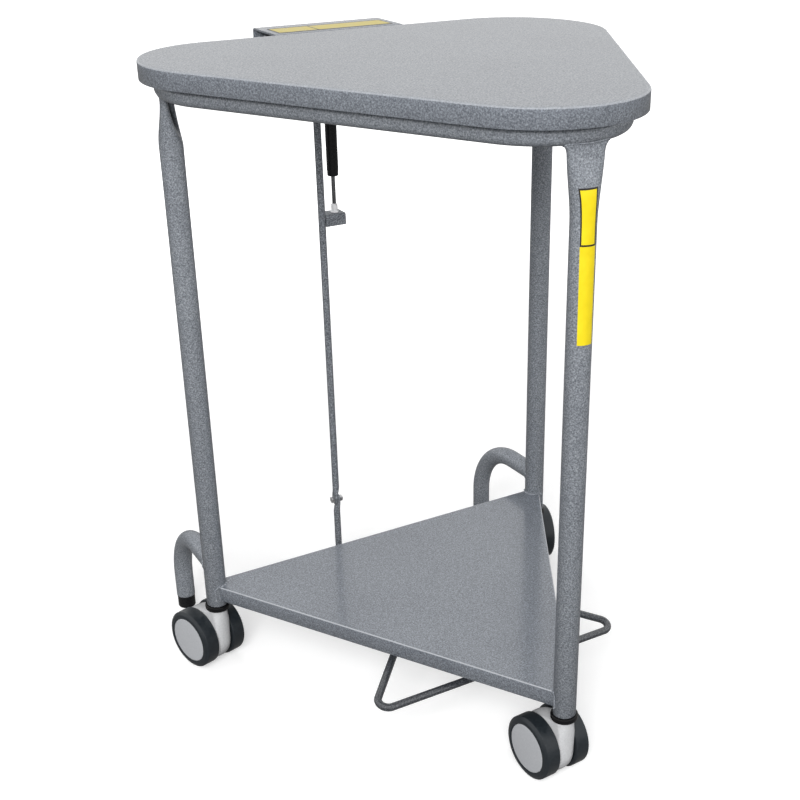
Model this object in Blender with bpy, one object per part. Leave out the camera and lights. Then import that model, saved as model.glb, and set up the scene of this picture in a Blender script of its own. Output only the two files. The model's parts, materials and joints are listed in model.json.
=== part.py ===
"""Linen hamper: triangular tube stand with a pedal-lifted lid, on twin-wheel casters.

Metres, +Z up, origin on the floor under the middle of the part. The hinge side is +Y.
"""
import math

import bmesh
import bpy
from mathutils import Matrix, Vector

# Fits
WELD_GAP = 0.0003           # between pieces that are welded, seated or pressed together
RUN_GAP = 0.0003            # radial play of a pin in its hole
SIDE_GAP = 0.0005           # sideways play of a piece that turns beside another

# Legs and ring
LEG_SPACING = 0.588         # between the leg axes, the same on all three sides
LEG_OD = 0.03175
LEG_WALL = 0.0016
LEG_BASE_Z = 0.112
LEG_TAPER = 0.088           # length that widens under the ring
LEG_PRESS = 0.066           # its upper stretch, which is also pressed flat
LEG_FLAT_WIDTH = 0.0505
LEG_FLAT_DEPTH = 0.0130
LEG_DENT = 1.3              # how far the inner wall is pressed in, as a share of half the depth
DENT_SPREAD = 0.42          # and how wide, as a share of half the width
RING_OD = 0.0254
RING_CORNER_R = 0.1004      # to the middle of the tube
RING_DROP = 0.0348          # lid top down to the middle of the tube

# Lid
LID_TOP_Z = 0.925
LID_MARGIN = 0.0302         # middle of the ring tube out to the lid's edge
LID_SKIRT = 0.024
LID_SHEET = 0.0015
LID_EDGE_R = 0.004
BUMPER_R = 0.009
BUMPER_TIP_R = 0.007

# Hinge channel behind the lid, and its ribs
CHANNEL_LENGTH = 0.200
CHANNEL_REACH = 0.164       # rear leg row back to the channel's back face
CHANNEL_FLANGE = 0.024
CHANNEL_SHEET = 0.003
HINGE_REACH = 0.150         # rear leg row back to the hinge pin
HINGE_DROP = 0.017          # lid top down to the hinge pin
HINGE_PIN_R = 0.00475
HINGE_BOSS_R = 0.0095
RIB_X = 0.055
RIB_SHEET = 0.004
BUSH_R = 0.0070
EAR_X = 0.080
EAR_SHEET = 0.004
BRACKET_SHEET = 0.003
BRACKET_HEIGHT = 0.036
SKIRT_CLEARANCE = 0.003     # lid skirt down to the ears that pass under it
HINGE_HEAD_R = 0.0085
HINGE_HEAD = 0.007

# Lid crank and push bar
CRANK_R = 0.030             # hinge pin to crank pin
LID_SWING = math.radians(75.0)
BAR_X = -0.026
BAR_OD = 0.011
BAR_RATIO = 0.0279          # bar lift for each radian of the lid
CRANK_PIN_R = 0.004
EYE_SHEET = 0.006
EYE_RIM = 0.0045
SLOT_PLAY = 0.0009          # around the crank pin in the bar's slotted eye
CLEVIS_SHEET = 0.003
CLEVIS_BOSS_R = 0.0085
CLEVIS_WIDTH = 0.030
FORK_CLEARANCE = 0.0020     # crank fork down to the round part of the bar
PIN_HEAD_R = 0.0062
PIN_HEAD = 0.0025

# Joint between the push bar and the lower link
JOINT_Z = 0.163
TONGUE_SHEET = 0.0042
TONGUE_R = 0.0080
TONGUE_LENGTH = 0.022
JOINT_BOLT_R = 0.0030
JOINT_NUT_R = 0.0060
JOINT_NUT_HEIGHT = 0.0045

# Damper
DAMPER_REACH = 0.1315       # rear leg row back to the damper's axis
DAMPER_R = 0.0088
DAMPER_DROP = 0.2183        # lid top down to the cylinder's lower end
DAMPER_LENGTH = 0.098
DAMPER_ROD_R = 0.0030
DAMPER_ROD_IN = 0.020       # rod inside the cylinder with the lid shut
DAMPER_EYE_SHEET = 0.006
DAMPER_EYE_R = 0.0065
DAMPER_EYE_RISE = 0.016
DAMPER_BOLT_R = 0.0030
DAMPER_ROD_OUT = 0.0424     # bare rod with the lid shut, longer than the bar's lift
LUG_HEIGHT = 0.018
LUG_SHEET = 0.003
LUG_END_X = 0.0135
LUG_DEPTH = 0.025
FITTING_R = 0.0050
FITTING_HEIGHT = 0.0136
STRAP_WIDTH = 0.018
STRAP_SHEET = 0.003

# Shelf
SHELF_TOP_Z = 0.1465
SHELF_MARGIN = 0.008        # leg axes out to the shelf's edge
SHELF_FLANGE = 0.024
SHELF_SHEET = 0.0016
SHELF_EDGE_R = 0.0025

# Pedal
PEDAL_ROD = 0.011
PEDAL_Z = 0.095             # front bar
PEDAL_TILT = math.radians(10.76)    # the loop rises to the back
PEDAL_FRONT = 0.3566        # rear leg row forward to the front bar
PEDAL_HALF_WIDTH = 0.2135   # to the crossing of the bars' axes
PEDAL_APEX = 0.1276         # rear leg row forward to the crossing of the side bars
PEDAL_CORNER_R = 0.014
PEDAL_APEX_R = 0.030
PEDAL_PIVOT = 0.060         # rear leg row forward to the pivot
PIVOT_Z = 0.109
PIVOT_TUBE_R = 0.008
PIVOT_TUBE_LENGTH = 0.064
PIVOT_PIN_R = 0.004
ARM_SHEET = 0.006
ARM_HEIGHT = 0.012
ARM_BOSS_R = 0.0125
ARM_DROP = 0.057            # pivot down to the link pin
HANGER_SHEET = 0.003
HANGER_WIDTH = 0.036
HANGER_BOSS_R = 0.0105
LINK_PIN_R = 0.004
LINK_PIN_PLAY = 0.0011      # around the pin in the link's lower eye

# Rear outriggers
OUTRIGGER_OD = 0.0295
OUTRIGGER_WALL = 0.0016
OUTRIGGER_REACH = 0.165     # leg axis back to the upright stretch
OUTRIGGER_TOE = math.radians(1.6)   # turned in towards the middle
OUTRIGGER_Z = 0.180
OUTRIGGER_BEND_R = 0.100
OUTRIGGER_END_Z = 0.040
CAP_HEIGHT = 0.022
CAP_R = 0.0140
CAP_PLUG = 0.020

# Casters
WHEEL_R = 0.0465
WHEEL_WIDTH = 0.0246
WHEEL_INSET = 0.0142        # caster's middle plane to the inner face of a wheel
TYRE_BORE_R = 0.0360
TYRE_FLAT = 0.0186          # flat tread, beside the bevelled outer shoulder
TYRE_ROUND = 0.0022
COVER_CROWN = 0.0008
CASTER_TRAIL = 0.0324
CASTER_YAW = {"left": math.radians(106.7), "right": math.radians(73.3), "front": math.radians(93.3)}
HOUSING_R = 0.0445
HOUSING_LOW_Z = 0.005       # its flat underside over the floor
HOUSING_HALF = 0.0136
HOUSING_EDGE_R = 0.004
NECK_R = 0.0145
NECK_TOP_Z = 0.1015
NECK_LOW_Z = 0.0845
HOOD_TOP_Z = 0.0975         # hood between neck and wheel circle
HOOD_FRONT = 0.0138
HOOD_BACK = 0.0128
AXLE_R = 0.0050
AXLE_CLEARANCE = 0.0025     # axle end to the wheel's cover
STEM_R = 0.0055
STEM_BASE_Z = 0.062
STEM_LENGTH = 0.080
COLLAR_R = 0.0190
COLLAR_PLUG = 0.042

# Facets
TUBE_SIDES = 14
ROD_SIDES = 10
LEG_SIDES = 20
WHEEL_SIDES = 24
PIN_SIDES = 12
CORNER_STEPS = 8

# Worked out from the sizes above
LEG_R = LEG_OD / 2
RING_R = RING_OD / 2
RING_Z = LID_TOP_Z - RING_DROP
LID_CORNER_R = RING_CORNER_R + LID_MARGIN
LEG_CIRCLE = LEG_SPACING / math.sqrt(3)
CORNER_CIRCLE = LEG_CIRCLE - RING_CORNER_R
FRONT_REACH = CORNER_CIRCLE + LID_CORNER_R
ROW_REACH = LEG_CIRCLE / 2
BACK_REACH = ROW_REACH + OUTRIGGER_REACH + OUTRIGGER_OD / 2
CENTRE_Y = (FRONT_REACH - BACK_REACH) / 2
ROW_Y = CENTRE_Y + ROW_REACH
LID_BACK_Y = CENTRE_Y + CORNER_CIRCLE / 2 + LID_CORNER_R
RING_BACK_Y = LID_BACK_Y - LID_MARGIN
CORNER_ANGLE = {"left": math.radians(150), "right": math.radians(30), "front": math.radians(270)}
HINGE_Y = ROW_Y + HINGE_REACH
HINGE_Z = LID_TOP_Z - HINGE_DROP
CHANNEL_UNDER = LID_TOP_Z - CHANNEL_SHEET
CRANK_Y = HINGE_Y - CRANK_R * math.cos(LID_SWING / 2)
CRANK_Z = HINGE_Z - CRANK_R * math.sin(LID_SWING / 2)
CRANK_DRIFT = CRANK_R * (1 - math.cos(LID_SWING / 2))
BAR_Y = CRANK_Y - CRANK_DRIFT / 2
BAR_R = BAR_OD / 2
BAR_LIFT = BAR_RATIO * LID_SWING
DAMPER_Y = ROW_Y + DAMPER_REACH
DAMPER_BASE_Z = LID_TOP_Z - DAMPER_DROP
DAMPER_EYE_Z = DAMPER_BASE_Z + DAMPER_LENGTH + DAMPER_EYE_RISE
LUG_TOP_Z = DAMPER_BASE_Z - DAMPER_ROD_OUT - FITTING_HEIGHT - 2 * WELD_GAP
PIVOT_Y = ROW_Y - PEDAL_PIVOT
LINK_PIN_Z = PIVOT_Z - ARM_DROP
LINK_X = BAR_X + RUN_GAP + TONGUE_SHEET / 2
ARM_X = LINK_X + TONGUE_SHEET / 2 + SIDE_GAP + ARM_SHEET / 2
TUBE_END_R = OUTRIGGER_OD / 2 - OUTRIGGER_WALL
WHEEL_OUTER = WHEEL_INSET + WHEEL_WIDTH
COVER_R = TYRE_BORE_R - WELD_GAP


def clear_scene():
    for item in list(bpy.data.objects):
        bpy.data.objects.remove(item, do_unlink=True)


def paint(name, colour, roughness, metallic=0.0):
    made = bpy.data.materials.new(name)
    made.use_nodes = True
    shader = made.node_tree.nodes["Principled BSDF"]
    shader.inputs["Base Color"].default_value = (*colour, 1.0)
    shader.inputs["Roughness"].default_value = roughness
    shader.inputs["Metallic"].default_value = metallic
    return made


def add_object(name, mesh, material=None, parent=None):
    item = bpy.data.objects.new(name, mesh)
    bpy.context.scene.collection.objects.link(item)
    if material:
        mesh.materials.clear()
        mesh.materials.append(material)
    if parent:
        item.parent = parent
        item.matrix_parent_inverse = Matrix.Translation(parent.location).inverted()
    return item


def pivot_empty(name, place, parent=None):
    empty = bpy.data.objects.new(name, None)
    bpy.context.scene.collection.objects.link(empty)
    empty.location = place
    if parent:
        empty.parent = parent
        empty.matrix_parent_inverse = Matrix.Translation(parent.location).inverted()
    return empty


def finish_mesh(name, bm, smooth_angle=math.radians(35)):
    bmesh.ops.recalc_face_normals(bm, faces=bm.faces)
    mesh = bpy.data.meshes.new(name)
    bm.to_mesh(mesh)
    bm.free()
    mesh.shade_smooth()
    mesh.set_sharp_from_angle(angle=smooth_angle)
    return mesh


def arc(centre, radius, start, end, steps):
    turns = [start + (end - start) * k / steps for k in range(steps + 1)]
    return [(centre[0] + radius * math.cos(t), centre[1] + radius * math.sin(t)) for t in turns]


def extrude_outline(bm, outline, direction):
    """Closed prism over a planar outline of 3-D points."""
    face = bm.faces.new([bm.verts.new(p) for p in outline])
    swept = bmesh.ops.extrude_face_region(bm, geom=[face])
    moved = [v for v in swept["geom"] if isinstance(v, bmesh.types.BMVert)]
    bmesh.ops.translate(bm, vec=direction, verts=moved)


def plate_mesh(name, outline, x_low, x_high):
    """Sheet standing across X, from an outline in Y and Z."""
    bm = bmesh.new()
    extrude_outline(bm, [(x_low, y, z) for y, z in outline], (x_high - x_low, 0, 0))
    return finish_mesh(name, bm)


def box_mesh(name, low, high):
    outline = [(low[1], low[2]), (high[1], low[2]), (high[1], high[2]), (low[1], high[2])]
    return plate_mesh(name, outline, low[0], high[0])


def rod_mesh(name, radius, start, end, sides=PIN_SIDES):
    """Round bar between two points."""
    start, end = Vector(start), Vector(end)
    axis = end - start
    turn = axis.to_track_quat("Z", "Y").to_matrix().to_4x4()
    bm = bmesh.new()
    bmesh.ops.create_cone(bm, cap_ends=True, segments=sides, radius1=radius, radius2=radius,
                          depth=axis.length, matrix=Matrix.Translation((start + end) / 2) @ turn)
    return finish_mesh(name, bm)


def turned_mesh(name, profile, sides, matrix=None):
    """Solid of revolution about Z; a profile that starts off the axis is closed into a ring."""
    bm = bmesh.new()
    points = [bm.verts.new((r, 0, z)) for r, z in profile]
    edges = [bm.edges.new(pair) for pair in zip(points, points[1:])]
    if profile[0][0] > 0:
        edges.append(bm.edges.new((points[-1], points[0])))
    bmesh.ops.spin(bm, geom=points + edges, cent=(0, 0, 0), axis=(0, 0, 1),
                   angle=math.tau, steps=sides, use_merge=True, use_duplicate=False)
    bmesh.ops.remove_doubles(bm, verts=bm.verts, dist=0.00001)
    if matrix:
        bmesh.ops.transform(bm, matrix=matrix, verts=bm.verts)
    return finish_mesh(name, bm)


def swept_tube(name, path, radius, sides, cyclic=False):
    """Round tube along a path, made with a bevelled curve."""
    curve = bpy.data.curves.new(name, "CURVE")
    curve.dimensions = "3D"
    curve.bevel_depth = radius
    curve.bevel_resolution = sides // 2 - 2
    curve.use_fill_caps = True
    spline = curve.splines.new("POLY")
    spline.points.add(len(path) - 1)
    for point, place in zip(spline.points, path):
        point.co = (*place, 1.0)
    spline.use_cyclic_u = cyclic
    holder = bpy.data.objects.new(name, curve)
    bpy.context.scene.collection.objects.link(holder)
    graph = bpy.context.evaluated_depsgraph_get()
    mesh = bpy.data.meshes.new_from_object(holder.evaluated_get(graph))
    bpy.data.objects.remove(holder, do_unlink=True)
    bpy.data.curves.remove(curve)
    bm = bmesh.new()
    bm.from_mesh(mesh)
    bmesh.ops.remove_doubles(bm, verts=bm.verts, dist=0.00001)
    return finish_mesh(name, bm)


def tool(mesh):
    """Object that only cuts or joins another."""
    item = add_object("tool_" + mesh.name, mesh)
    item.hide_render = True
    item.display_type = "WIRE"
    return item


def boolean(item, mesh, operation="DIFFERENCE"):
    step = item.modifiers.new(operation.lower(), "BOOLEAN")
    step.operation = operation
    step.solver = "EXACT"
    step.object = tool(mesh)


def union(item, mesh):
    boolean(item, mesh, "UNION")


def filleted(corners, radii, steps):
    """Closed outline in X and Y with each corner rounded."""
    outline = []
    count = len(corners)
    for k, radius in enumerate(radii):
        here = Vector(corners[k])
        before = (Vector(corners[k - 1]) - here).normalized()
        after = (Vector(corners[(k + 1) % count]) - here).normalized()
        half = before.angle(after) / 2
        middle = here + (before + after).normalized() * radius / math.sin(half)
        first = here + before * radius / math.tan(half) - middle
        last = here + after * radius / math.tan(half) - middle
        turn = first.angle_signed(last)
        for step in range(steps + 1):
            spot = first.copy()
            spot.rotate(Matrix.Rotation(-turn * step / steps, 2))
            outline.append(tuple(middle + spot))
    return outline


def corner_place(side, reach):
    """Point on a corner's ray from the middle of the stand."""
    angle = CORNER_ANGLE[side]
    return reach * math.cos(angle), CENTRE_Y + reach * math.sin(angle)


def rounded_triangle(radius):
    """Outline that follows the stand's three corners at the given corner radius."""
    outline = []
    for side in ("right", "left", "front"):
        angle = CORNER_ANGLE[side]
        centre = corner_place(side, CORNER_CIRCLE)
        outline += arc(centre, radius, angle - math.pi / 3, angle + math.pi / 3, CORNER_STEPS)
    return outline


def sheet_pan(name, outline, top_z, skirt, sheet, edge_r, material):
    """Flat sheet with a turned-down skirt and a rounded edge."""
    bm = bmesh.new()
    top = bm.faces.new([bm.verts.new((x, y, top_z)) for x, y in outline])
    skirts = bmesh.ops.extrude_edge_only(bm, edges=list(top.edges))
    lower = [v for v in skirts["geom"] if isinstance(v, bmesh.types.BMVert)]
    bmesh.ops.translate(bm, vec=(0, 0, -skirt), verts=lower)
    pan = add_object(name, finish_mesh(name, bm), material)
    bend = pan.modifiers.new("bend", "BEVEL")
    bend.width = edge_r
    bend.segments = 3
    bend.limit_method = "ANGLE"
    bend.angle_limit = math.radians(60)
    wall = pan.modifiers.new("sheet", "SOLIDIFY")
    wall.thickness = sheet
    wall.offset = -1
    wall.use_even_offset = True
    return pan


def make_leg(side, grey):
    """Tube whose upper end is pressed flat and dented from inside, and coped to the ring."""
    x, y = corner_place(side, LEG_CIRCLE)
    outward = Vector((math.cos(CORNER_ANGLE[side]), math.sin(CORNER_ANGLE[side]), 0))
    across = Vector((-outward.y, outward.x, 0))
    top_z = RING_Z - RING_R * 0.6
    taper_z = RING_Z - RING_R - LEG_TAPER
    stations = [(LEG_BASE_Z, 0.0), (taper_z, 0.0)]
    stations += [(taper_z + LEG_TAPER * k / 6, k / 6) for k in range(1, 7)]
    stations.append((top_z, 1.0))
    bm = bmesh.new()
    rings = []
    for z, share in stations:
        wide = LEG_R + (LEG_FLAT_WIDTH / 2 - LEG_R) * share * share * (3 - 2 * share)
        share = max(1 - (1 - share) * LEG_TAPER / LEG_PRESS, 0)
        ease = share * share * (3 - 2 * share)
        deep = LEG_R + (LEG_FLAT_DEPTH / 2 - LEG_R) * ease
        power = 1 - 0.35 * ease
        ring = []
        for k in range(LEG_SIDES):
            angle = math.tau * k / LEG_SIDES
            c, s = math.cos(angle), math.sin(angle)
            pressed = 1 - LEG_DENT * ease * math.exp(-(c / DENT_SPREAD) ** 2) if s < 0 else 1
            spot = across * wide * math.copysign(abs(c) ** power, c)
            spot += outward * deep * pressed * math.copysign(abs(s) ** power, s)
            ring.append(bm.verts.new(spot + Vector((x, y, z))))
        rings.append(ring)
    for lower, upper in zip(rings, rings[1:]):
        for k in range(LEG_SIDES):
            nxt = (k + 1) % LEG_SIDES
            bm.faces.new((lower[k], lower[nxt], upper[nxt], upper[k]))
    bm.faces.new(rings[0])
    bm.faces.new(rings[-1])
    leg = add_object("leg_" + side, finish_mesh("leg_" + side, bm), grey)
    bore_end = taper_z - LEG_OD
    boolean(leg, rod_mesh("bore_" + side, LEG_R - LEG_WALL, (x, y, LEG_BASE_Z - LEG_OD),
                          (x, y, bore_end), LEG_SIDES))
    boolean(leg, ring_mesh("cope_" + side, RING_R + WELD_GAP))


def ring_mesh(name, radius):
    path = [(x, y, RING_Z) for x, y in rounded_triangle(RING_CORNER_R)]
    return swept_tube(name, path, radius, TUBE_SIDES, cyclic=True)


def leg_cutter(name, side):
    """Round space that leaves a weld gap to a leg."""
    x, y = corner_place(side, LEG_CIRCLE)
    return rod_mesh(name, LEG_R + WELD_GAP, (x, y, 0), (x, y, RING_Z - RING_R - LEG_TAPER), LEG_SIDES)


def make_shelf(grey):
    outline = []
    for side in ("right", "left", "front"):
        x, y = corner_place(side, LEG_CIRCLE)
        angle = CORNER_ANGLE[side]
        half = 2 * SHELF_MARGIN * math.tan(math.pi / 6)
        across = (-math.sin(angle) * half, math.cos(angle) * half)
        outline += [(x - across[0], y - across[1]), (x + across[0], y + across[1])]
    shelf = sheet_pan("shelf", outline, SHELF_TOP_Z, SHELF_FLANGE, SHELF_SHEET, SHELF_EDGE_R, grey)
    for side in CORNER_ANGLE:
        boolean(shelf, leg_cutter("shelf_notch_" + side, side))


def make_outrigger(side, grey, black):
    """Tube that runs back from a rear leg and bends down to a capped foot."""
    x, row = corner_place(side, LEG_CIRCLE)
    bend = arc((row + OUTRIGGER_REACH - OUTRIGGER_BEND_R, OUTRIGGER_Z - OUTRIGGER_BEND_R),
               OUTRIGGER_BEND_R, math.pi / 2, 0, CORNER_STEPS)
    bend = [(row, OUTRIGGER_Z)] + bend + [(row + OUTRIGGER_REACH, OUTRIGGER_END_Z)]
    toe = -math.copysign(math.tan(OUTRIGGER_TOE), x)
    path = [(x + (y - row) * toe, y, z) for y, z in bend]
    name = "outrigger_" + side
    arm = add_object(name, swept_tube(name, path, OUTRIGGER_OD / 2, TUBE_SIDES), grey)
    boolean(arm, leg_cutter("outrigger_cope_" + side, side))
    foot = Vector(path[-1])
    bore_top = foot + Vector((0, 0, CAP_PLUG + SIDE_GAP))
    boolean(arm, rod_mesh("outrigger_bore_" + side, TUBE_END_R, foot - Vector((0, 0, CAP_PLUG)), bore_top))
    plug_r = TUBE_END_R - WELD_GAP
    profile = [(0, CAP_PLUG), (plug_r, CAP_PLUG), (plug_r, -WELD_GAP), (CAP_R, -WELD_GAP),
               (CAP_R, -CAP_HEIGHT * 0.85), (CAP_R * 0.9, -CAP_HEIGHT), (0, -CAP_HEIGHT)]
    cap_name = "outrigger_cap_" + side
    add_object(cap_name, turned_mesh(cap_name, profile, PIN_SIDES, Matrix.Translation(foot)), black)


def boss_plate(base, centre, radius, start, end):
    """Outline of a plate that ends in a round boss, in Y and Z."""
    return list(base) + arc(centre, radius, start, end, 8)


def make_hinge_bracket(grey, steel):
    """Plate welded behind the ring, with two ears that carry the hinge pin."""
    back = RING_BACK_Y + RING_R + WELD_GAP
    ear_top = LID_TOP_Z - LID_SKIRT - SKIRT_CLEARANCE
    low = ear_top - BRACKET_HEIGHT
    half = EAR_X + EAR_SHEET / 2
    bracket = add_object("hinge_bracket", box_mesh("hinge_bracket", (-half, back, low),
                                                   (half, back + BRACKET_SHEET, ear_top)), grey)
    hinge = (HINGE_Y, HINGE_Z)
    ear = boss_plate([(LID_BACK_Y + CHANNEL_SHEET * 3, ear_top), (back + BRACKET_SHEET / 2, ear_top),
                      (back + BRACKET_SHEET / 2, low)],
                     hinge, HINGE_BOSS_R, math.radians(-125), math.radians(115))
    for sign in (-1, 1):
        union(bracket, plate_mesh("ear", ear, sign * EAR_X - EAR_SHEET / 2, sign * EAR_X + EAR_SHEET / 2))
    boolean(bracket, rod_mesh("ear_hole", HINGE_PIN_R + WELD_GAP, (-EAR_X * 1.1, *hinge),
                              (EAR_X * 1.1, *hinge)))
    pin_end = EAR_X + EAR_SHEET / 2 + WELD_GAP + HINGE_HEAD
    add_object("hinge_pin", headed_pin("hinge_pin", HINGE_PIN_R, HINGE_HEAD_R, HINGE_HEAD,
                                       (-pin_end, *hinge), pin_end), steel)


def nut_mesh(radius, hole_r, place, height):
    """Hexagon nut on a pin along X."""
    hole = hole_r / math.cos(math.pi / 6)
    profile = [(hole, 0), (hole, height), (radius, height), (radius, 0)]
    turn = Matrix.Translation(place) @ Matrix.Rotation(math.pi / 2, 4, "Y")
    bm = bmesh.new()
    loops = []
    for r, z in profile:
        turns = [k * math.pi / 3 for k in range(6)]
        loops.append([bm.verts.new(turn @ Vector((r * math.cos(a), r * math.sin(a), z))) for a in turns])
    loops.append(loops[0])
    for one, two in zip(loops, loops[1:]):
        for k in range(6):
            nxt = (k + 1) % 6
            bm.faces.new((one[k], one[nxt], two[nxt], two[k]))
    return finish_mesh("nut", bm)


def headed_pin(name, radius, head_r, head, start, end):
    """Pin along X with a round head at each end."""
    x0, y, z = start
    x1 = end
    length = x1 - x0
    profile = [(0, 0), (head_r, 0), (head_r, head), (radius, head), (radius, length - head),
               (head_r, length - head), (head_r, length), (0, length)]
    turn = Matrix.Translation((x0, y, z)) @ Matrix.Rotation(math.pi / 2, 4, "Y")
    return turned_mesh(name, profile, PIN_SIDES, turn)


def make_lid(grey, black, nylon, steel):
    pivot = pivot_empty("lid_axis", (0, HINGE_Y, HINGE_Z))
    pan = sheet_pan("lid_pan", rounded_triangle(LID_CORNER_R), LID_TOP_Z, LID_SKIRT, LID_SHEET, LID_EDGE_R,
                    grey)
    bumper_top = LID_TOP_Z - LID_SHEET - WELD_GAP
    bumper_tip = RING_Z + RING_R + WELD_GAP
    pieces = [pan]
    for side in CORNER_ANGLE:
        x, y = corner_place(side, LEG_CIRCLE)
        profile = [(0, bumper_top), (BUMPER_R, bumper_top), (BUMPER_TIP_R, bumper_tip), (0, bumper_tip)]
        name = "lid_bumper_" + side
        place = Matrix.Translation((x, y, 0))
        pieces.append(add_object(name, turned_mesh(name, profile, PIN_SIDES, place), black))

    # Channel that carries the hinge, open below and at both ends
    front = LID_BACK_Y + WELD_GAP
    back = ROW_Y + CHANNEL_REACH
    low = LID_TOP_Z - CHANNEL_FLANGE
    section = [(front, low), (front, LID_TOP_Z), (back, LID_TOP_Z), (back, low), (back - CHANNEL_SHEET, low),
               (back - CHANNEL_SHEET, CHANNEL_UNDER), (front + CHANNEL_SHEET, CHANNEL_UNDER),
               (front + CHANNEL_SHEET, low)]
    channel = add_object("hinge_channel", plate_mesh("hinge_channel", section, -CHANNEL_LENGTH / 2,
                                                     CHANNEL_LENGTH / 2), grey)
    bend = channel.modifiers.new("bend", "BEVEL")
    bend.width = CHANNEL_SHEET * 0.4
    bend.segments = 2
    bend.limit_method = "ANGLE"
    bend.angle_limit = math.radians(60)
    pieces.append(channel)

    hinge = (HINGE_Y, HINGE_Z)
    rib_top = CHANNEL_UNDER + CHANNEL_SHEET / 2
    rib_front = front + CHANNEL_SHEET / 2
    rib = boss_plate([(HINGE_Y + HINGE_BOSS_R, rib_top), (rib_front, rib_top), (rib_front, HINGE_Z)],
                     hinge, HINGE_BOSS_R, math.radians(-100), 0)
    profile = [(HINGE_PIN_R + RUN_GAP, -RIB_SHEET), (HINGE_PIN_R + RUN_GAP, RIB_SHEET),
               (BUSH_R, RIB_SHEET), (BUSH_R, -RIB_SHEET)]
    for side, sign in (("left", -1), ("right", 1)):
        union(channel, plate_mesh("rib_" + side, rib, sign * RIB_X - RIB_SHEET / 2,
                                  sign * RIB_X + RIB_SHEET / 2))
        boolean(channel, rod_mesh("rib_hole_" + side, BUSH_R + WELD_GAP, (sign * RIB_X - RIB_SHEET, *hinge),
                                  (sign * RIB_X + RIB_SHEET, *hinge)))
        turn = Matrix.Translation((sign * RIB_X, *hinge)) @ Matrix.Rotation(math.pi / 2, 4, "Y")
        name = "hinge_bush_" + side
        pieces.append(add_object(name, turned_mesh(name, profile, PIN_SIDES, turn), nylon))

    # Forked crank under the channel, round the push bar's eye
    inner = EYE_SHEET / 2 + SIDE_GAP
    outer = inner + CLEVIS_SHEET
    crank = (CRANK_Y, CRANK_Z)
    fork_top = CHANNEL_UNDER - WELD_GAP
    leg = boss_plate([(CRANK_Y + CLEVIS_WIDTH / 2, fork_top), (CRANK_Y - CLEVIS_WIDTH / 2, fork_top)],
                     crank, CLEVIS_BOSS_R, math.radians(200), math.radians(340))
    fork = add_object("crank_fork", plate_mesh("crank_fork", leg, BAR_X - outer, BAR_X - inner), grey)
    union(fork, plate_mesh("crank_leg", leg, BAR_X + inner, BAR_X + outer))
    union(fork, box_mesh("crank_web", (BAR_X - inner - CLEVIS_SHEET / 2, CRANK_Y - CLEVIS_WIDTH / 2,
                                       fork_top - CLEVIS_SHEET),
                         (BAR_X + inner + CLEVIS_SHEET / 2, CRANK_Y + CLEVIS_WIDTH / 2, fork_top)))
    boolean(fork, rod_mesh("crank_hole", CRANK_PIN_R + WELD_GAP, (BAR_X - outer * 2, *crank),
                           (BAR_X + outer * 2, *crank)))
    pieces.append(fork)
    reach = outer + WELD_GAP + PIN_HEAD
    pieces.append(add_object("crank_pin", headed_pin("crank_pin", CRANK_PIN_R, PIN_HEAD_R, PIN_HEAD,
                                                     (BAR_X - reach, *crank), BAR_X + reach), steel))
    for piece in pieces:
        piece.parent = pivot
        piece.matrix_parent_inverse = Matrix.Translation(pivot.location).inverted()


def slot_outline(middle, half_run, radius):
    y, z = middle
    right = arc((y + half_run, z), radius, -math.pi / 2, math.pi / 2, 6)
    left = arc((y - half_run, z), radius, math.pi / 2, math.pi * 1.5, 6)
    return right + left


def tongue_outline(y, z, away):
    """Flattened rod end: a round tip at the hole and a strip that runs up or down."""
    if away > 0:
        tip = arc((y, z), TONGUE_R, math.pi, math.tau, 8)
        return tip + [(y + BAR_R, z + TONGUE_LENGTH), (y - BAR_R, z + TONGUE_LENGTH)]
    tip = arc((y, z), TONGUE_R, 0, math.pi, 8)
    return tip + [(y - BAR_R, z - TONGUE_LENGTH), (y + BAR_R, z - TONGUE_LENGTH)]


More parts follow.
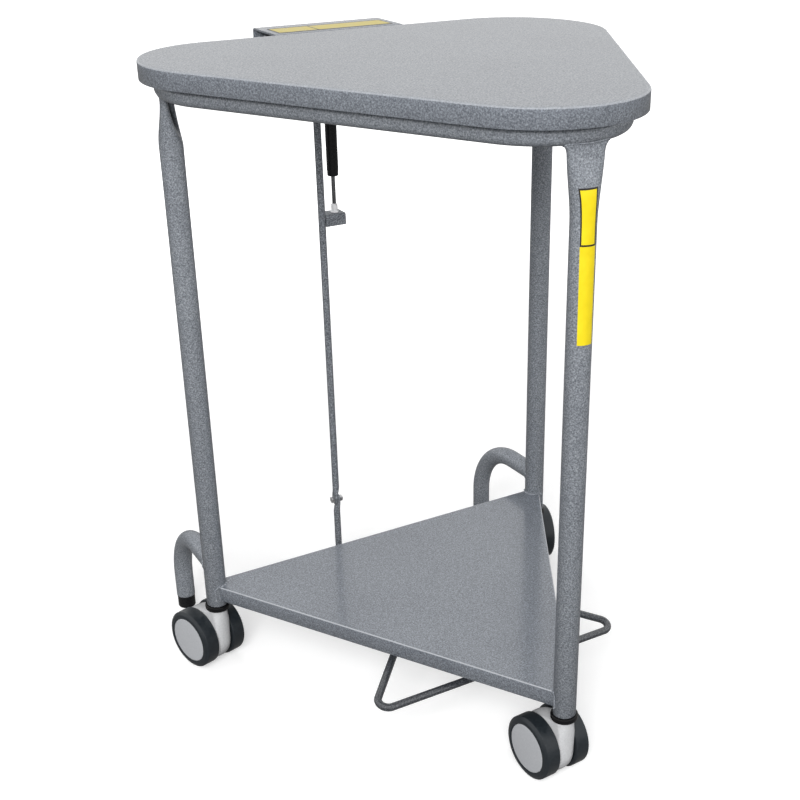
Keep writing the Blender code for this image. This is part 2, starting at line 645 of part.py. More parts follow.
def make_push_bar(grey, steel, bright):
    pivot = pivot_empty("push_bar_axis", (BAR_X, BAR_Y, JOINT_Z))
    slot_run = CRANK_DRIFT / 2
    slot_r = CRANK_PIN_R + SLOT_PLAY
    rod_low = JOINT_Z + TONGUE_R + TONGUE_LENGTH / 4
    rod_top = CRANK_Z - CLEVIS_BOSS_R - FORK_CLEARANCE
    bar = add_object("push_bar", rod_mesh("push_bar", BAR_R, (BAR_X, BAR_Y, rod_low),
                                          (BAR_X, BAR_Y, rod_top)), grey, pivot)
    eye = slot_outline((BAR_Y, CRANK_Z), slot_run, slot_r + EYE_RIM)
    union(bar, plate_mesh("bar_eye", eye, BAR_X - EYE_SHEET / 2, BAR_X + EYE_SHEET / 2))
    neck = BAR_R * 0.64
    union(bar, box_mesh("bar_neck", (BAR_X - EYE_SHEET * 0.4, BAR_Y - neck, rod_top - BAR_OD),
                        (BAR_X + EYE_SHEET * 0.4, BAR_Y + neck, CRANK_Z - slot_r - EYE_RIM / 2)))
    slot = slot_outline((BAR_Y, CRANK_Z), slot_run, slot_r)
    boolean(bar, plate_mesh("bar_slot", slot, BAR_X - EYE_SHEET, BAR_X + EYE_SHEET))
    tongue = tongue_outline(BAR_Y, JOINT_Z, 1)
    union(bar, plate_mesh("bar_tongue", tongue, BAR_X - RUN_GAP - TONGUE_SHEET, BAR_X - RUN_GAP))
    boolean(bar, rod_mesh("bar_hole", JOINT_BOLT_R + RUN_GAP, (BAR_X - BAR_OD, BAR_Y, JOINT_Z),
                          (BAR_X + BAR_OD, BAR_Y, JOINT_Z)))

    left = BAR_X - RUN_GAP - TONGUE_SHEET - WELD_GAP
    right = LINK_X + TONGUE_SHEET / 2 + SIDE_GAP
    bolt_end = right + JOINT_NUT_HEIGHT * 1.4
    bolt_start = left - JOINT_NUT_HEIGHT
    profile = [(0, 0), (JOINT_NUT_R, 0), (JOINT_NUT_R, JOINT_NUT_HEIGHT), (JOINT_BOLT_R, JOINT_NUT_HEIGHT),
               (JOINT_BOLT_R, bolt_end - bolt_start), (0, bolt_end - bolt_start)]
    turn = Matrix.Translation((bolt_start, BAR_Y, JOINT_Z)) @ Matrix.Rotation(math.pi / 2, 4, "Y")
    add_object("joint_bolt", turned_mesh("joint_bolt", profile, PIN_SIDES, turn), steel, pivot)
    add_object("joint_nut", nut_mesh(JOINT_NUT_R, JOINT_BOLT_R + WELD_GAP, (right, BAR_Y, JOINT_Z),
                                     JOINT_NUT_HEIGHT), steel, pivot)

    # Angle lug on the bar, and the damper's rod standing on it
    lug_x = BAR_X + BAR_R + WELD_GAP
    lug_low = LUG_TOP_Z - LUG_HEIGHT
    front = BAR_Y - LUG_SHEET
    section = [(front, lug_low), (BAR_Y, lug_low), (BAR_Y, LUG_TOP_Z - LUG_SHEET),
               (front + LUG_DEPTH, LUG_TOP_Z - LUG_SHEET), (front + LUG_DEPTH, LUG_TOP_Z), (front, LUG_TOP_Z)]
    add_object("damper_lug", plate_mesh("damper_lug", section, lug_x, LUG_END_X), grey, pivot)
    seat = LUG_TOP_Z + WELD_GAP
    fitting_top = seat + FITTING_HEIGHT
    profile = [(0, seat), (FITTING_R * 1.25, seat), (FITTING_R * 1.25, seat + FITTING_HEIGHT * 0.3),
               (FITTING_R, seat + FITTING_HEIGHT * 0.4), (FITTING_R, fitting_top), (0, fitting_top)]
    stand = Matrix.Translation((0, DAMPER_Y, 0))
    add_object("damper_fitting", turned_mesh("damper_fitting", profile, PIN_SIDES, stand), bright, pivot)
    add_object("damper_rod", rod_mesh("damper_rod", DAMPER_ROD_R, (0, DAMPER_Y, fitting_top + WELD_GAP),
                                      (0, DAMPER_Y, DAMPER_BASE_Z + DAMPER_ROD_IN), ROD_SIDES), steel, pivot)


def make_damper(black, grey, steel):
    """Fixed cylinder of the damper, hung from a strap behind the ring."""
    top = DAMPER_BASE_Z + DAMPER_LENGTH
    round_r = DAMPER_R * 0.85
    bore_r = DAMPER_ROD_R + RUN_GAP
    bore_end = DAMPER_BASE_Z + DAMPER_ROD_IN + BAR_LIFT + SIDE_GAP
    profile = [(0, top), (round_r, top), (DAMPER_R, top - DAMPER_R * 0.3),
               (DAMPER_R, DAMPER_BASE_Z + DAMPER_R * 0.3), (round_r, DAMPER_BASE_Z),
               (bore_r, DAMPER_BASE_Z), (bore_r, bore_end), (0, bore_end)]
    stand = Matrix.Translation((0, DAMPER_Y, 0))
    cylinder = add_object("damper_cylinder", turned_mesh("damper_cylinder", profile, PIN_SIDES, stand), black)
    half = DAMPER_EYE_SHEET / 2
    eye = arc((DAMPER_Y, DAMPER_EYE_Z), DAMPER_EYE_R, 0, math.pi, 8)
    eye_low = top - DAMPER_R * 0.2
    eye += [(DAMPER_Y - DAMPER_EYE_R * 0.8, eye_low), (DAMPER_Y + DAMPER_EYE_R * 0.8, eye_low)]
    union(cylinder, plate_mesh("damper_eye", eye, -half, half))
    boolean(cylinder, rod_mesh("damper_eye_hole", DAMPER_BOLT_R + RUN_GAP,
                               (-DAMPER_R, DAMPER_Y, DAMPER_EYE_Z), (DAMPER_R, DAMPER_Y, DAMPER_EYE_Z)))

    strap_front = RING_BACK_Y + RING_R + WELD_GAP + BRACKET_SHEET + WELD_GAP
    strap_top = LID_TOP_Z - LID_SKIRT - SKIRT_CLEARANCE - BRACKET_HEIGHT * 0.5
    strap_back = DAMPER_Y + DAMPER_EYE_R
    lug_x = half + SIDE_GAP
    strap = add_object("damper_strap", box_mesh("damper_strap", (lug_x - STRAP_WIDTH / 2, strap_front,
                                                                strap_top - STRAP_SHEET),
                                                (lug_x + STRAP_WIDTH / 2, strap_back, strap_top)), grey)
    hang = arc((DAMPER_Y, DAMPER_EYE_Z), DAMPER_EYE_R, math.pi, math.tau, 8)
    hang_top = strap_top - STRAP_SHEET / 2
    hang += [(strap_back, hang_top), (DAMPER_Y - DAMPER_EYE_R, hang_top)]
    union(strap, plate_mesh("strap_lug", hang, lug_x, lug_x + STRAP_SHEET))
    boolean(strap, rod_mesh("strap_hole", DAMPER_BOLT_R + WELD_GAP, (0, DAMPER_Y, DAMPER_EYE_Z),
                            (lug_x + STRAP_WIDTH, DAMPER_Y, DAMPER_EYE_Z)))
    reach = lug_x + STRAP_SHEET + WELD_GAP + PIN_HEAD
    add_object("damper_bolt", headed_pin("damper_bolt", DAMPER_BOLT_R, JOINT_NUT_R * 0.9, PIN_HEAD,
                                         (-half - SIDE_GAP - PIN_HEAD, DAMPER_Y, DAMPER_EYE_Z), reach), steel)


def make_link(grey):
    """Short rod from the push bar's joint down to the pedal's arm."""
    pivot = pivot_empty("lower_link_axis", (BAR_X, BAR_Y, JOINT_Z))
    start = LINK_PIN_Z + TONGUE_R + TONGUE_LENGTH / 4
    end = JOINT_Z - TONGUE_R - TONGUE_LENGTH / 4
    link = add_object("lower_link", rod_mesh("lower_link", BAR_R, (BAR_X, BAR_Y, start), (BAR_X, BAR_Y, end)),
                      grey, pivot)
    low, high = LINK_X - TONGUE_SHEET / 2, LINK_X + TONGUE_SHEET / 2
    union(link, plate_mesh("link_upper_tongue", tongue_outline(BAR_Y, JOINT_Z, -1), low, high))
    union(link, plate_mesh("link_lower_tongue", tongue_outline(BAR_Y, LINK_PIN_Z, 1), low, high))
    for z, radius in ((JOINT_Z, JOINT_BOLT_R + RUN_GAP), (LINK_PIN_Z, LINK_PIN_R + LINK_PIN_PLAY)):
        boolean(link, rod_mesh("link_hole", radius, (BAR_X - BAR_OD, BAR_Y, z), (BAR_X + BAR_OD, BAR_Y, z)))


def pedal_height(y):
    """The loop lies in a plane that rises from its front bar to its back."""
    return PEDAL_Z + math.tan(PEDAL_TILT) * (y - ROW_Y + PEDAL_FRONT)


def pedal_path():
    corners = [(-PEDAL_HALF_WIDTH, ROW_Y - PEDAL_FRONT), (PEDAL_HALF_WIDTH, ROW_Y - PEDAL_FRONT),
               (0, ROW_Y - PEDAL_APEX)]
    radii = [PEDAL_CORNER_R, PEDAL_CORNER_R, PEDAL_APEX_R]
    return [(x, y, pedal_height(y)) for x, y in filleted(corners, radii, CORNER_STEPS)]


def make_pedal(grey, steel):
    pivot = pivot_empty("pedal_axis", (0, PIVOT_Y, PIVOT_Z))
    add_object("pedal_loop", swept_tube("pedal_loop", pedal_path(), PEDAL_ROD / 2, ROD_SIDES, cyclic=True),
               grey, pivot)
    half = ARM_HEIGHT / 2
    apex_half = math.atan2(PEDAL_HALF_WIDTH, PEDAL_FRONT - PEDAL_APEX)
    bend_y = ROW_Y - PEDAL_APEX - PEDAL_APEX_R / math.sin(apex_half)
    front = bend_y + math.sqrt(PEDAL_APEX_R ** 2 - ARM_X ** 2)
    slope = math.atan2(-ARM_DROP, BAR_Y - PIVOT_Y)
    tip = arc((BAR_Y, LINK_PIN_Z), half, slope - math.pi / 2, slope + math.pi / 2, 8)
    rise = half / math.cos(slope)
    seat = pedal_height(front)
    outline = [(front, seat + rise), (front, seat - rise), (PIVOT_Y, PIVOT_Z - rise)] + tip
    outline.append((PIVOT_Y, PIVOT_Z + rise))
    low, high = ARM_X - ARM_SHEET / 2, ARM_X + ARM_SHEET / 2
    arm = add_object("pedal_arm", plate_mesh("pedal_arm", outline, low, high), grey, pivot)
    boss = ARM_SHEET / 4
    union(arm, rod_mesh("arm_boss", ARM_BOSS_R, (low - boss, PIVOT_Y, PIVOT_Z),
                        (high + boss, PIVOT_Y, PIVOT_Z)))
    tube_half = PIVOT_TUBE_LENGTH / 2
    union(arm, rod_mesh("arm_tube", PIVOT_TUBE_R, (-tube_half, PIVOT_Y, PIVOT_Z),
                        (tube_half, PIVOT_Y, PIVOT_Z)))
    boolean(arm, rod_mesh("arm_pivot_hole", PIVOT_PIN_R + RUN_GAP, (-PIVOT_TUBE_LENGTH, PIVOT_Y, PIVOT_Z),
                          (PIVOT_TUBE_LENGTH, PIVOT_Y, PIVOT_Z)))
    boolean(arm, rod_mesh("arm_pin_hole", LINK_PIN_R + WELD_GAP, (low - ARM_SHEET, BAR_Y, LINK_PIN_Z),
                          (high + ARM_SHEET, BAR_Y, LINK_PIN_Z)))
    boolean(arm, swept_tube("arm_cope", pedal_path(), PEDAL_ROD / 2 + WELD_GAP, ROD_SIDES, cyclic=True))
    pin_start = LINK_X - TONGUE_SHEET / 2 - SIDE_GAP - PIN_HEAD
    pin_end = high + WELD_GAP + PIN_HEAD
    add_object("link_pin", headed_pin("link_pin", LINK_PIN_R, PIN_HEAD_R, PIN_HEAD,
                                      (pin_start, BAR_Y, LINK_PIN_Z), pin_end), steel, pivot)


def make_pedal_mounts(grey, steel):
    """Hangers under the shelf and the pin that the pedal turns on."""
    inner = PIVOT_TUBE_LENGTH / 2 + SIDE_GAP
    outer = inner + HANGER_SHEET
    top = SHELF_TOP_Z - SHELF_SHEET - WELD_GAP
    outline = boss_plate([(PIVOT_Y + HANGER_WIDTH / 2, top), (PIVOT_Y - HANGER_WIDTH / 2, top)],
                         (PIVOT_Y, PIVOT_Z), HANGER_BOSS_R, math.pi, math.tau)
    for side, sign in (("left", -1), ("right", 1)):
        name = "pedal_hanger_" + side
        low, high = sorted((sign * inner, sign * outer))
        hanger = add_object(name, plate_mesh(name, outline, low, high), grey)
        boolean(hanger, rod_mesh("hanger_hole_" + side, PIVOT_PIN_R + WELD_GAP,
                                 (low - HANGER_SHEET, PIVOT_Y, PIVOT_Z),
                                 (high + HANGER_SHEET, PIVOT_Y, PIVOT_Z)))
    reach = outer + WELD_GAP + PIN_HEAD
    add_object("pedal_pivot_pin", headed_pin("pedal_pivot_pin", PIVOT_PIN_R, PIN_HEAD_R, PIN_HEAD,
                                             (-reach, PIVOT_Y, PIVOT_Z), reach), steel)


def hood_outline():
    """Side of a caster housing: the wheel's circle drawn up to the neck by straight flanks."""
    turns = []
    for u, sign in ((HOOD_BACK, -1), (-HOOD_FRONT, 1)):
        reach_u, reach_v = u - CASTER_TRAIL, HOOD_TOP_Z - WHEEL_R
        meet = math.acos(HOUSING_R / math.hypot(reach_u, reach_v))
        turns.append(math.atan2(reach_v, reach_u) + sign * meet)
    outline = arc((CASTER_TRAIL, WHEEL_R), HOUSING_R, turns[0], turns[1] - math.tau, 20)
    outline = [(u, max(v, HOUSING_LOW_Z)) for u, v in outline]
    return outline + [(-HOOD_FRONT, HOOD_TOP_Z), (HOOD_BACK, HOOD_TOP_Z)]


def make_caster(side, shell, rubber, steel, black):
    """Collar and stem in the leg, and a housing that swivels between two wheels."""
    x, y = corner_place(side, LEG_CIRCLE)
    stem_place = Matrix.Translation((x, y, 0))
    collar_seat = LEG_BASE_Z - WELD_GAP
    collar_low = NECK_TOP_Z + WELD_GAP
    plug_r = LEG_R - LEG_WALL - WELD_GAP
    hole_r = STEM_R + WELD_GAP
    profile = [(hole_r, LEG_BASE_Z + COLLAR_PLUG), (plug_r, LEG_BASE_Z + COLLAR_PLUG), (plug_r, collar_seat),
               (COLLAR_R, collar_seat), (COLLAR_R, collar_low + WELD_GAP * 4),
               (COLLAR_R - WELD_GAP * 6, collar_low), (hole_r, collar_low)]
    name = "stem_collar_" + side
    add_object(name, turned_mesh(name, profile, LEG_SIDES, stem_place), black)
    name = "caster_stem_" + side
    add_object(name, rod_mesh(name, STEM_R, (x, y, STEM_BASE_Z), (x, y, STEM_BASE_Z + STEM_LENGTH)), steel)

    swivel = pivot_empty("caster_swivel_" + side, (x, y, 0))
    yaw = CASTER_YAW[side]
    # Caster's own frame: X along the trail, Y along the axle
    turn = stem_place @ Matrix.Rotation(yaw, 4, "Z")
    bm = bmesh.new()
    extrude_outline(bm, [(u, -HOUSING_HALF, v) for u, v in hood_outline()], (0, HOUSING_HALF * 2, 0))
    rims = [e for e in bm.edges if abs(e.verts[0].co.y - e.verts[1].co.y) < RUN_GAP]
    bmesh.ops.bevel(bm, geom=rims, offset=HOUSING_EDGE_R, segments=2, profile=0.5, affect="EDGES")
    bmesh.ops.transform(bm, matrix=turn, verts=bm.verts)
    name = "caster_housing_" + side
    housing = add_object(name, finish_mesh(name, bm), shell, swivel)
    neck = [(0, NECK_TOP_Z), (NECK_R * 0.9, NECK_TOP_Z), (NECK_R, NECK_TOP_Z - NECK_R * 0.15),
            (NECK_R, NECK_LOW_Z), (0, NECK_LOW_Z)]
    union(housing, turned_mesh("caster_neck_" + side, neck, PIN_SIDES, turn))
    boolean(housing, rod_mesh("stem_hole_" + side, STEM_R + RUN_GAP, (x, y, STEM_BASE_Z - WELD_GAP),
                              (x, y, NECK_TOP_Z + STEM_R)))
    hub = turn @ Vector((CASTER_TRAIL, 0, WHEEL_R))
    along = (turn.to_3x3() @ Vector((0, 1, 0))).normalized()
    axle_half = WHEEL_OUTER - AXLE_CLEARANCE
    boolean(housing, rod_mesh("axle_hole_" + side, AXLE_R + WELD_GAP, hub - along * WHEEL_R,
                              hub + along * WHEEL_R))
    name = "caster_axle_" + side
    add_object(name, rod_mesh(name, AXLE_R, hub - along * axle_half, hub + along * axle_half), steel, swivel)

    inner, outer = WHEEL_INSET, WHEEL_OUTER
    shoulder = inner + TYRE_ROUND + TYRE_FLAT
    rim_r = TYRE_BORE_R + TYRE_ROUND
    tyre = [(TYRE_BORE_R, inner), (TYRE_BORE_R, outer), (rim_r, outer), (WHEEL_R, shoulder),
            (WHEEL_R, inner + TYRE_ROUND), (WHEEL_R - TYRE_ROUND, inner)]
    blind = axle_half + SIDE_GAP
    bore_r = AXLE_R + RUN_GAP
    face = outer - COVER_CROWN
    wheel = [(0, outer), (COVER_R * 0.9, face), (COVER_R, face - COVER_CROWN), (COVER_R, inner + COVER_CROWN),
             (bore_r, inner + COVER_CROWN), (bore_r, blind), (0, blind)]
    for letter, sign in (("a", 1), ("b", -1)):
        wheel_pivot = pivot_empty("wheel_axis_%s_%s" % (side, letter), hub, swivel)
        spin = Matrix.Translation(hub) @ (along * sign).to_track_quat("Z", "Y").to_matrix().to_4x4()
        name = "tyre_%s_%s" % (side, letter)
        add_object(name, turned_mesh(name, tyre, WHEEL_SIDES, spin), rubber, wheel_pivot)
        name = "wheel_%s_%s" % (side, letter)
        add_object(name, turned_mesh(name, wheel, WHEEL_SIDES, spin), shell, wheel_pivot)


def main():
    clear_scene()
    grey = paint("vein_paint", (0.30, 0.32, 0.34), 0.45, 0.35)
    black = paint("black_plastic", (0.012, 0.012, 0.013), 0.4)
    rubber = paint("tyre_rubber", (0.035, 0.045, 0.055), 0.5)
    shell = paint("caster_shell", (0.52, 0.53, 0.55), 0.42)
    steel = paint("plated_steel", (0.45, 0.45, 0.46), 0.3, 1.0)
    bright = paint("bright_plating", (0.8, 0.8, 0.8), 0.2, 1.0)
    nylon = paint("nylon", (0.75, 0.74, 0.70), 0.5)
    add_object("top_ring", ring_mesh("top_ring", RING_R), grey)
    for side in CORNER_ANGLE:
        make_leg(side, grey)
        make_caster(side, shell, rubber, steel, black)
    make_shelf(grey)
    for side in ("left", "right"):
        make_outrigger(side, grey, black)
    make_hinge_bracket(grey, steel)
    make_lid(grey, black, nylon, steel)
    make_push_bar(grey, steel, bright)
    make_damper(black, grey, steel)
    make_link(grey)
    make_pedal_mounts(grey, steel)
    make_pedal(grey, steel)


main()
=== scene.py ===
import json
from math import acos, atan2, copysign, cos, exp, pi, radians, sin, sqrt, tan, tau

import bmesh
import bpy
from mathutils import Matrix, Vector


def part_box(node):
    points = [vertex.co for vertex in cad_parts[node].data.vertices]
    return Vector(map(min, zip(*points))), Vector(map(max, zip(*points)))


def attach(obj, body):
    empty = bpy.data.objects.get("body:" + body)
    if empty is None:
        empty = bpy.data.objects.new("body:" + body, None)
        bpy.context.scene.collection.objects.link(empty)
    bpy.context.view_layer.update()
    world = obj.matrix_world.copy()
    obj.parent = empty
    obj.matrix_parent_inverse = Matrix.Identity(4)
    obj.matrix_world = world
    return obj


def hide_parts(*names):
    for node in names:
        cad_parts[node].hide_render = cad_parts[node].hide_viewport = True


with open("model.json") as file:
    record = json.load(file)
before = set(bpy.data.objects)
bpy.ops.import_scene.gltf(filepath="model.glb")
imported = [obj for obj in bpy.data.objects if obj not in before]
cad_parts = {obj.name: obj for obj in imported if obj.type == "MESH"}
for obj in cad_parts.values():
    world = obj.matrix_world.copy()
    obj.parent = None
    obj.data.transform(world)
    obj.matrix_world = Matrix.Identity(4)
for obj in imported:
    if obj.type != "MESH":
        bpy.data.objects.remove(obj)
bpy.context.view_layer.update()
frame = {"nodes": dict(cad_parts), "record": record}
scene = bpy.context.scene
print("frame loaded:", len(frame["nodes"]), "nodes")


def middleOf(node):
    low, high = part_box(node)
    return (Vector(low) + Vector(high)) / 2


def clamp(value):
    return min(max(value, 0.0), 1.0)


def smooth(share):
    return share * share * (3 - 2 * share)


def unit(angle):
    return Vector((cos(angle), sin(angle)))


# leg axes, their directions from the middle of the stand, and the sizes that pieces share
sides = ("left", "right", "front")
cornerTurn = {"left": radians(150), "right": radians(30), "front": radians(270)}
legAxis = {side: middleOf("caster_stem_" + side).to_2d() for side in sides}
standMiddle = (legAxis["left"] + legAxis["right"] + legAxis["front"]) / 3
legCircle = (legAxis["front"] - standMiddle).length
rowY = legAxis["left"].y
stand = {"ringCorner": 0.1004, "lidMargin": 0.0302, "lidTop": 0.925, "ringDrop": 0.0348, "shelfTop": 0.1465,
         "seat": 0.0003}
ringZ = stand["lidTop"] - stand["ringDrop"]
cornerCircle = legCircle - stand["ringCorner"]


# finishes

noiseSpec = {"turn": (0.61, 0.83, 0.27), "span": (0.3, 0.7), "detail": 3.0, "rough": 0.55, "depth": 0.0003}


def setInputs(tree, node, inputs):
    # each input takes a value, or a link from another node's output
    for key, value in inputs.items():
        if isinstance(value, bpy.types.NodeSocket):
            tree.links.new(value, node.inputs[key])
        else:
            node.inputs[key].default_value = value


def addNode(tree, kind, inputs, **settings):
    node = tree.nodes.new(kind)
    for key, value in settings.items():
        setattr(node, key, value)
    setInputs(tree, node, inputs)
    return node.outputs


def newFinish(name):
    finish = bpy.data.materials.new(name)
    finish.use_nodes = True
    return finish, finish.node_tree, finish.node_tree.nodes["Principled BSDF"]


def addNoise(tree, scale, detail, rough, stretch=None):
    # turned if it isn't drawn out, so that no flat face lies in one of the noise's own planes
    spread = {"Scale": stretch} if stretch else {"Rotation": noiseSpec["turn"]}
    coord = addNode(tree, "ShaderNodeTexCoord", {})
    place = addNode(tree, "ShaderNodeMapping", {"Vector": coord["Object"], **spread})
    return addNode(tree, "ShaderNodeTexNoise", {"Vector": place["Vector"], "Scale": scale, "Detail": detail,
                                                "Roughness": rough})["Fac"]


def addRamp(tree, source, stops):
    ramp = tree.nodes.new("ShaderNodeValToRGB")
    band = ramp.color_ramp
    while len(band.elements) < len(stops):
        band.elements.new(0.5)
    for element, (place, colour) in zip(band.elements, stops):
        element.position = place
        element.color = (*colour, 1)
    tree.links.new(source, ramp.inputs["Fac"])
    return ramp.outputs["Color"]


def addRange(tree, source, start, end, low, high):
    return addNode(tree, "ShaderNodeMapRange", {"Value": source, "From Min": start, "From Max": end, "To Min": low,
                                                "To Max": high})["Result"]


def addMath(tree, operation, *values):
    return addNode(tree, "ShaderNodeMath", dict(enumerate(values)), operation=operation)[0]


def addBump(tree, source, strength, depth):
    return addNode(tree, "ShaderNodeBump", {"Strength": strength, "Distance": depth, "Height": source})["Normal"]


def mixColour(tree, one, two, share, blend="MIX"):
    return addNode(tree, "ShaderNodeMix", {0: share, 6: one, 7: two}, data_type="RGBA", blend_type=blend)[2]


# one paint in four tones; its marks are a painted highlight on edges and painted shade in folds
paintSpec = {"fleck": (520.0, 3.0, 0.62), "cloud": (7.0, 2.0, 0.5), "cloudShade": (0.90, 0.90, 0.91),
             "peel": (300.0, 2.0, 0.5), "peelBump": (0.10, 0.0004), "gloss": (0.46, 0.30), "metal": 0.25,
             "shine": 0.15, "coatRough": 0.14, "coatIor": 2.2}
paintTones = {
    "veinPaint": {"dark": (0.081, 0.091, 0.107), "mid": (0.178, 0.195, 0.222), "light": (0.332, 0.360, 0.398),
                  "coat": 0.50, "marks": {"paintedEdgeHighlight": (0.56, 0.58, 0.61)}},
    "tubePaint": {"dark": (0.104, 0.114, 0.130), "mid": (0.230, 0.247, 0.272), "light": (0.412, 0.437, 0.466),
                  "coat": 0.08, "marks": {"paintedFoldShade": (0.018, 0.020, 0.023)}},
    "rodPaint": {"dark": (0.048, 0.053, 0.062), "mid": (0.162, 0.175, 0.194), "light": (0.40, 0.419, 0.448),
                 "coat": 0.05, "marks": {}},
    # the pedal's tone is the same paint darkened as painted shade
    "shadedPedalPaint": {"dark": (0.014, 0.016, 0.019), "mid": (0.043, 0.047, 0.054), "light": (0.12, 0.127, 0.138),
                   "coat": 0.50, "marks": {}}}


def makeVeinPaint(name):
    tone = paintTones[name]
    finish, tree, shader = newFinish(name)
    low, high = noiseSpec["span"]
    fleck = addNoise(tree, *paintSpec["fleck"])
    colour = addRamp(tree, fleck, [(low, tone["dark"]), (0.50, tone["mid"]), (high, tone["light"])])
    cloud = addNoise(tree, *paintSpec["cloud"])
    shade = addRamp(tree, cloud, [(low, paintSpec["cloudShade"]), (high, (1.0, 1.0, 1.0))])
    coat = mixColour(tree, colour, shade, 1.0, "MULTIPLY")
    # the marks mix painted highlight and painted shade into the paint
    for mark, paintedLight in tone["marks"].items():
        share = addNode(tree, "ShaderNodeAttribute", {}, attribute_name=mark)["Fac"]
        coat = mixColour(tree, coat, (*paintedLight, 1), share)
    peel = addNoise(tree, *paintSpec["peel"])
    setInputs(tree, shader, {"Base Color": coat, "Roughness": addRange(tree, fleck, low, high, *paintSpec["gloss"]),
                             "Metallic": paintSpec["metal"], "Specular IOR Level": paintSpec["shine"],
                             "Coat Weight": tone["coat"], "Coat Roughness": paintSpec["coatRough"],
                             "Coat IOR": paintSpec["coatIor"],
                             "Normal": addBump(tree, peel, *paintSpec["peelBump"])})
    return finish


def makePlain(name, dark, light, scale, gloss, metal=0.0, bump=0.05, stretch=None, shine=0.5):
    finish, tree, shader = newFinish(name)
    low, high = noiseSpec["span"]
    grain = addNoise(tree, scale, noiseSpec["detail"], noiseSpec["rough"], stretch)
    setInputs(tree, shader, {"Base Color": addRamp(tree, grain, [(low, dark), (high, light)]),
                             "Roughness": addRange(tree, grain, low, high, *gloss), "Metallic": metal,
                             "Specular IOR Level": shine, "Normal": addBump(tree, grain, bump, noiseSpec["depth"])})
    return finish


veinPaint, tubePaint, rodPaint, shadedPedalPaint = (makeVeinPaint(name) for name in paintTones)
tyreRubber = makePlain("tyreRubber", (0.008, 0.011, 0.014), (0.014, 0.018, 0.022), 240.0, (0.28, 0.42), bump=0.08)
casterShell = makePlain("casterShell", (0.41, 0.42, 0.44), (0.47, 0.48, 0.50), 420.0, (0.40, 0.52), bump=0.04)
hoodShell = makePlain("hoodShell", (0.47, 0.475, 0.485), (0.56, 0.565, 0.575), 420.0, (0.36, 0.50), bump=0.04)
blackPlastic = makePlain("blackPlastic", (0.004, 0.004, 0.005), (0.008, 0.008, 0.009), 300.0, (0.24, 0.36),
                         shine=0.3)
glossBlack = makePlain("glossBlack", (0.003, 0.003, 0.0035), (0.006, 0.006, 0.0065), 300.0, (0.10, 0.18),
                       bump=0.02, shine=0.2)
bumperRubber = makePlain("bumperRubber", (0.014, 0.014, 0.014), (0.022, 0.022, 0.022), 260.0, (0.55, 0.7), bump=0.1)
brushed = (1, 1, 0.15)    # grain drawn out along Z
zincSteel = makePlain("zincSteel", (0.60, 0.60, 0.61), (0.74, 0.74, 0.75), 180.0, (0.24, 0.40), 1.0, stretch=brushed)
darkSteel = makePlain("darkSteel", (0.17, 0.17, 0.18), (0.25, 0.25, 0.26), 180.0, (0.20, 0.32), 1.0, stretch=brushed)
brightPlate = makePlain("brightPlate", (0.84, 0.84, 0.85), (0.92, 0.92, 0.93), 160.0, (0.24, 0.36), 0.35)
nylon = makePlain("nylon", (0.66, 0.65, 0.60), (0.72, 0.71, 0.66), 220.0, (0.45, 0.6))
labelYellow = makePlain("labelYellow", (0.68, 0.53, 0.007), (0.75, 0.59, 0.012), 60.0, (0.30, 0.40), bump=0.02)
labelPale = makePlain("labelPale", (0.56, 0.44, 0.018), (0.62, 0.49, 0.026), 60.0, (0.26, 0.36), bump=0.02)
labelInk = makePlain("labelInk", (0.012, 0.011, 0.010), (0.022, 0.020, 0.018), 90.0, (0.35, 0.45), bump=0.02)
print("finishes ready")


# mesh tools

meshSpec = {"sharp": 38.0, "merge": 0.000005, "onAxis": 1e-7, "bevelSteps": 3, "bevelAngle": radians(40)}
hexSpec = {"foot": 0.93, "footRise": 0.12, "tip": 0.9, "tipRise": 0.85, "sharp": 25.0}


def shadeMesh(mesh, sharp):
    mesh.shade_smooth()
    mesh.set_sharp_from_angle(angle=radians(sharp))
    return mesh


def meshFrom(bm, name):
    mesh = bpy.data.meshes.new(name)
    bm.to_mesh(mesh)
    bm.free()
    return mesh


def finishMesh(bm, name, sharp=meshSpec["sharp"]):
    bmesh.ops.remove_doubles(bm, verts=bm.verts, dist=meshSpec["merge"])
    bmesh.ops.recalc_face_normals(bm, faces=bm.faces)
    return shadeMesh(meshFrom(bm, name), sharp)


def addPiece(name, mesh, finish, body, nodes=(), bevel=None):
    piece = bpy.data.objects.new(name, mesh)
    scene.collection.objects.link(piece)
    if finish and not mesh.materials:
        mesh.materials.append(finish)
    if bevel:
        soft = piece.modifiers.new("softEdge", "BEVEL")
        soft.width = bevel
        soft.segments = meshSpec["bevelSteps"]
        soft.limit_method = "ANGLE"
        soft.angle_limit = meshSpec["bevelAngle"]
        soft.harden_normals = True
    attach(piece, body)
    if nodes:
        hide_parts(*nodes)


def arcPoints(centre, radius, start, end, steps):
    turns = [start + (end - start) * k / steps for k in range(steps + 1)]
    return [(centre[0] + radius * cos(t), centre[1] + radius * sin(t)) for t in turns]


def roundCorners(points, radii, steps=5, closed=False):
    # rounds the corners of a path in two dimensions
    out = []
    count = len(points)
    for k, (point, radius) in enumerate(zip(points, radii)):
        if radius <= 0 or (not closed and k in (0, count - 1)):
            out.append(tuple(point))
            continue
        here = Vector(point)
        before = (Vector(points[k - 1]) - here).normalized()
        after = (Vector(points[(k + 1) % count]) - here).normalized()
        half = before.angle(after) / 2
        middle = here + (before + after).normalized() * radius / sin(half)
        first = here + before * radius / tan(half) - middle
        last = here + after * radius / tan(half) - middle
        turn = first.angle_signed(last)
        for step in range(steps + 1):
            spot = first.copy()
            spot.rotate(Matrix.Rotation(-turn * step / steps, 2))
            out.append(tuple(middle + spot))
    return out


def addQuad(bm, one, two, k):
    # face between two rings, from their point k to the next; either ring may be a single point
    spots = [ring[n % len(ring)] for ring, n in ((one, k), (one, k + 1), (two, k + 1), (two, k))]
    spots = list(dict.fromkeys(spots))
    if len(spots) > 2:
        bm.faces.new(spots)


